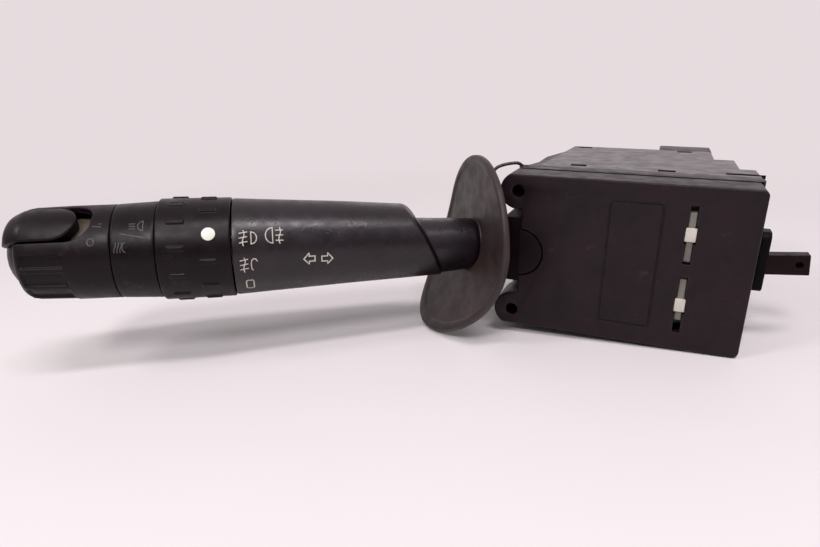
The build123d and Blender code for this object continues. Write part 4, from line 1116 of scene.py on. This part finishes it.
def camera():
    """Camera at the fitted place, which rolls by a little."""
    data = bpy.data.cameras.new("view")
    data.sensor_fit = "HORIZONTAL"
    data.sensor_width = SENSOR
    data.lens = FOCAL_PX / WIDTH_PX * SENSOR
    data.clip_start = 0.005
    data.clip_end = 20
    seen = add_object("view", data)
    forward = Vector((sin(YAW) * cos(PITCH), cos(YAW) * cos(PITCH), -sin(PITCH)))
    right = Vector((cos(YAW), -sin(YAW), 0))
    up = right.cross(forward)
    side = cos(ROLL) * right + sin(ROLL) * up
    top = -sin(ROLL) * right + cos(ROLL) * up
    turn = Matrix((side, top, -forward)).transposed()
    seen.matrix_world = Matrix.Translation(CAMERA * MM) @ turn.to_4x4()
    bpy.context.scene.camera = seen


def floor_slope(edge_x, edge_z):
    """Rise of the floor per length along +X, so that it touches the shroud's lip."""
    lip = frame["nodes"]["shroud"].data.vertices
    return max((edge_z - v.co.z) / (edge_x - v.co.x) for v in lip)


def pale(g, colour):
    """Flat colour of strength 1, and 1 where the camera, a mirror or glass sees it."""
    flat = g.give(g.node("ShaderNodeEmission"), Color=colour)
    path = g.node("ShaderNodeLightPath").outputs
    seen = path["Is Camera Ray"]
    for name in ("Is Glossy Ray", "Is Transmission Ray"):
        seen = g.math("MAXIMUM", seen, path[name])
    return flat.outputs["Emission"], seen


def stage():
    """Pale floor under the part that fades into the background's colour far from it."""
    low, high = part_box("main_housing")
    edge_x, edge_z = high[0], low[2]
    slope = floor_slope(edge_x, edge_z)
    g = Graph(bpy.data.materials.new("pale_floor"))
    g.finish(g.mix(g.noise(6, 3), FLOOR, FLOOR_LIGHT),
             g.ramp(g.noise(40, 3), 0.3, 0.7, 0.55, 0.65),
             g.bump(g.noise(900, 3), 0.05, 0.02), specular=0.25)
    flat, seen = pale(g, BACKGROUND)
    away = g.measure("DISTANCE", g.where, FLOOR_MIDDLE)
    fade = g.math("MULTIPLY", seen, g.ramp(away, *FLOOR_FADE))
    g.surface(fade, g.shader.outputs["BSDF"], flat)
    work = bmesh.new()
    work.faces.new([work.verts.new((x, y, edge_z + slope * (x - edge_x)))
                    for x, y in ((-3, -3), (3, -3), (3, 3), (-3, 3))])
    mesh = bpy.data.meshes.new("floor")
    work.to_mesh(mesh)
    work.free()
    finish_mesh("floor", mesh, g.owner, 60)


def lamp(name, place, aim, size, power, colour):
    """Rectangular lamp that faces a point."""
    data = bpy.data.lights.new(name, "AREA")
    data.shape = "RECTANGLE"
    data.size, data.size_y = size
    data.energy = power
    data.color = colour
    made = add_object(name, data)
    made.location = place
    made.rotation_euler = (Vector(aim) - Vector(place)).to_track_quat("-Z", "Y").to_euler()


def light():
    """The lamps, and a sky that is brighter behind and above and flat where it is seen."""
    for values in LAMPS:
        lamp(*values)
    g = Graph(bpy.data.worlds.new("studio"), "Generated")
    bright = g.ramp(g.measure("DOT_PRODUCT", g.where, SKY_TOWARDS), *SKY_FADE)
    back = g.give(g.tree.nodes["Background"], Color=SKY_COLOUR,
                  Strength=g.math("MULTIPLY", bright, SKY))
    flat, seen = pale(g, BACKGROUND)
    camera_ray = g.node("ShaderNodeLightPath").outputs["Is Camera Ray"]
    g.give(flat.node, Strength=g.math("MAXIMUM", camera_ray, bright))
    g.surface(seen, back.outputs["Background"], flat)
    scene = bpy.context.scene
    scene.world = g.owner
    scene.view_settings.view_transform = "Standard"


camera()
stage()
light()
springs()
stalk_lead()
switch_box()
handle_shell()
fog_ring()
fog_dot()
legend_ring()
light_knob()
horn_push()
marks()
shroud()
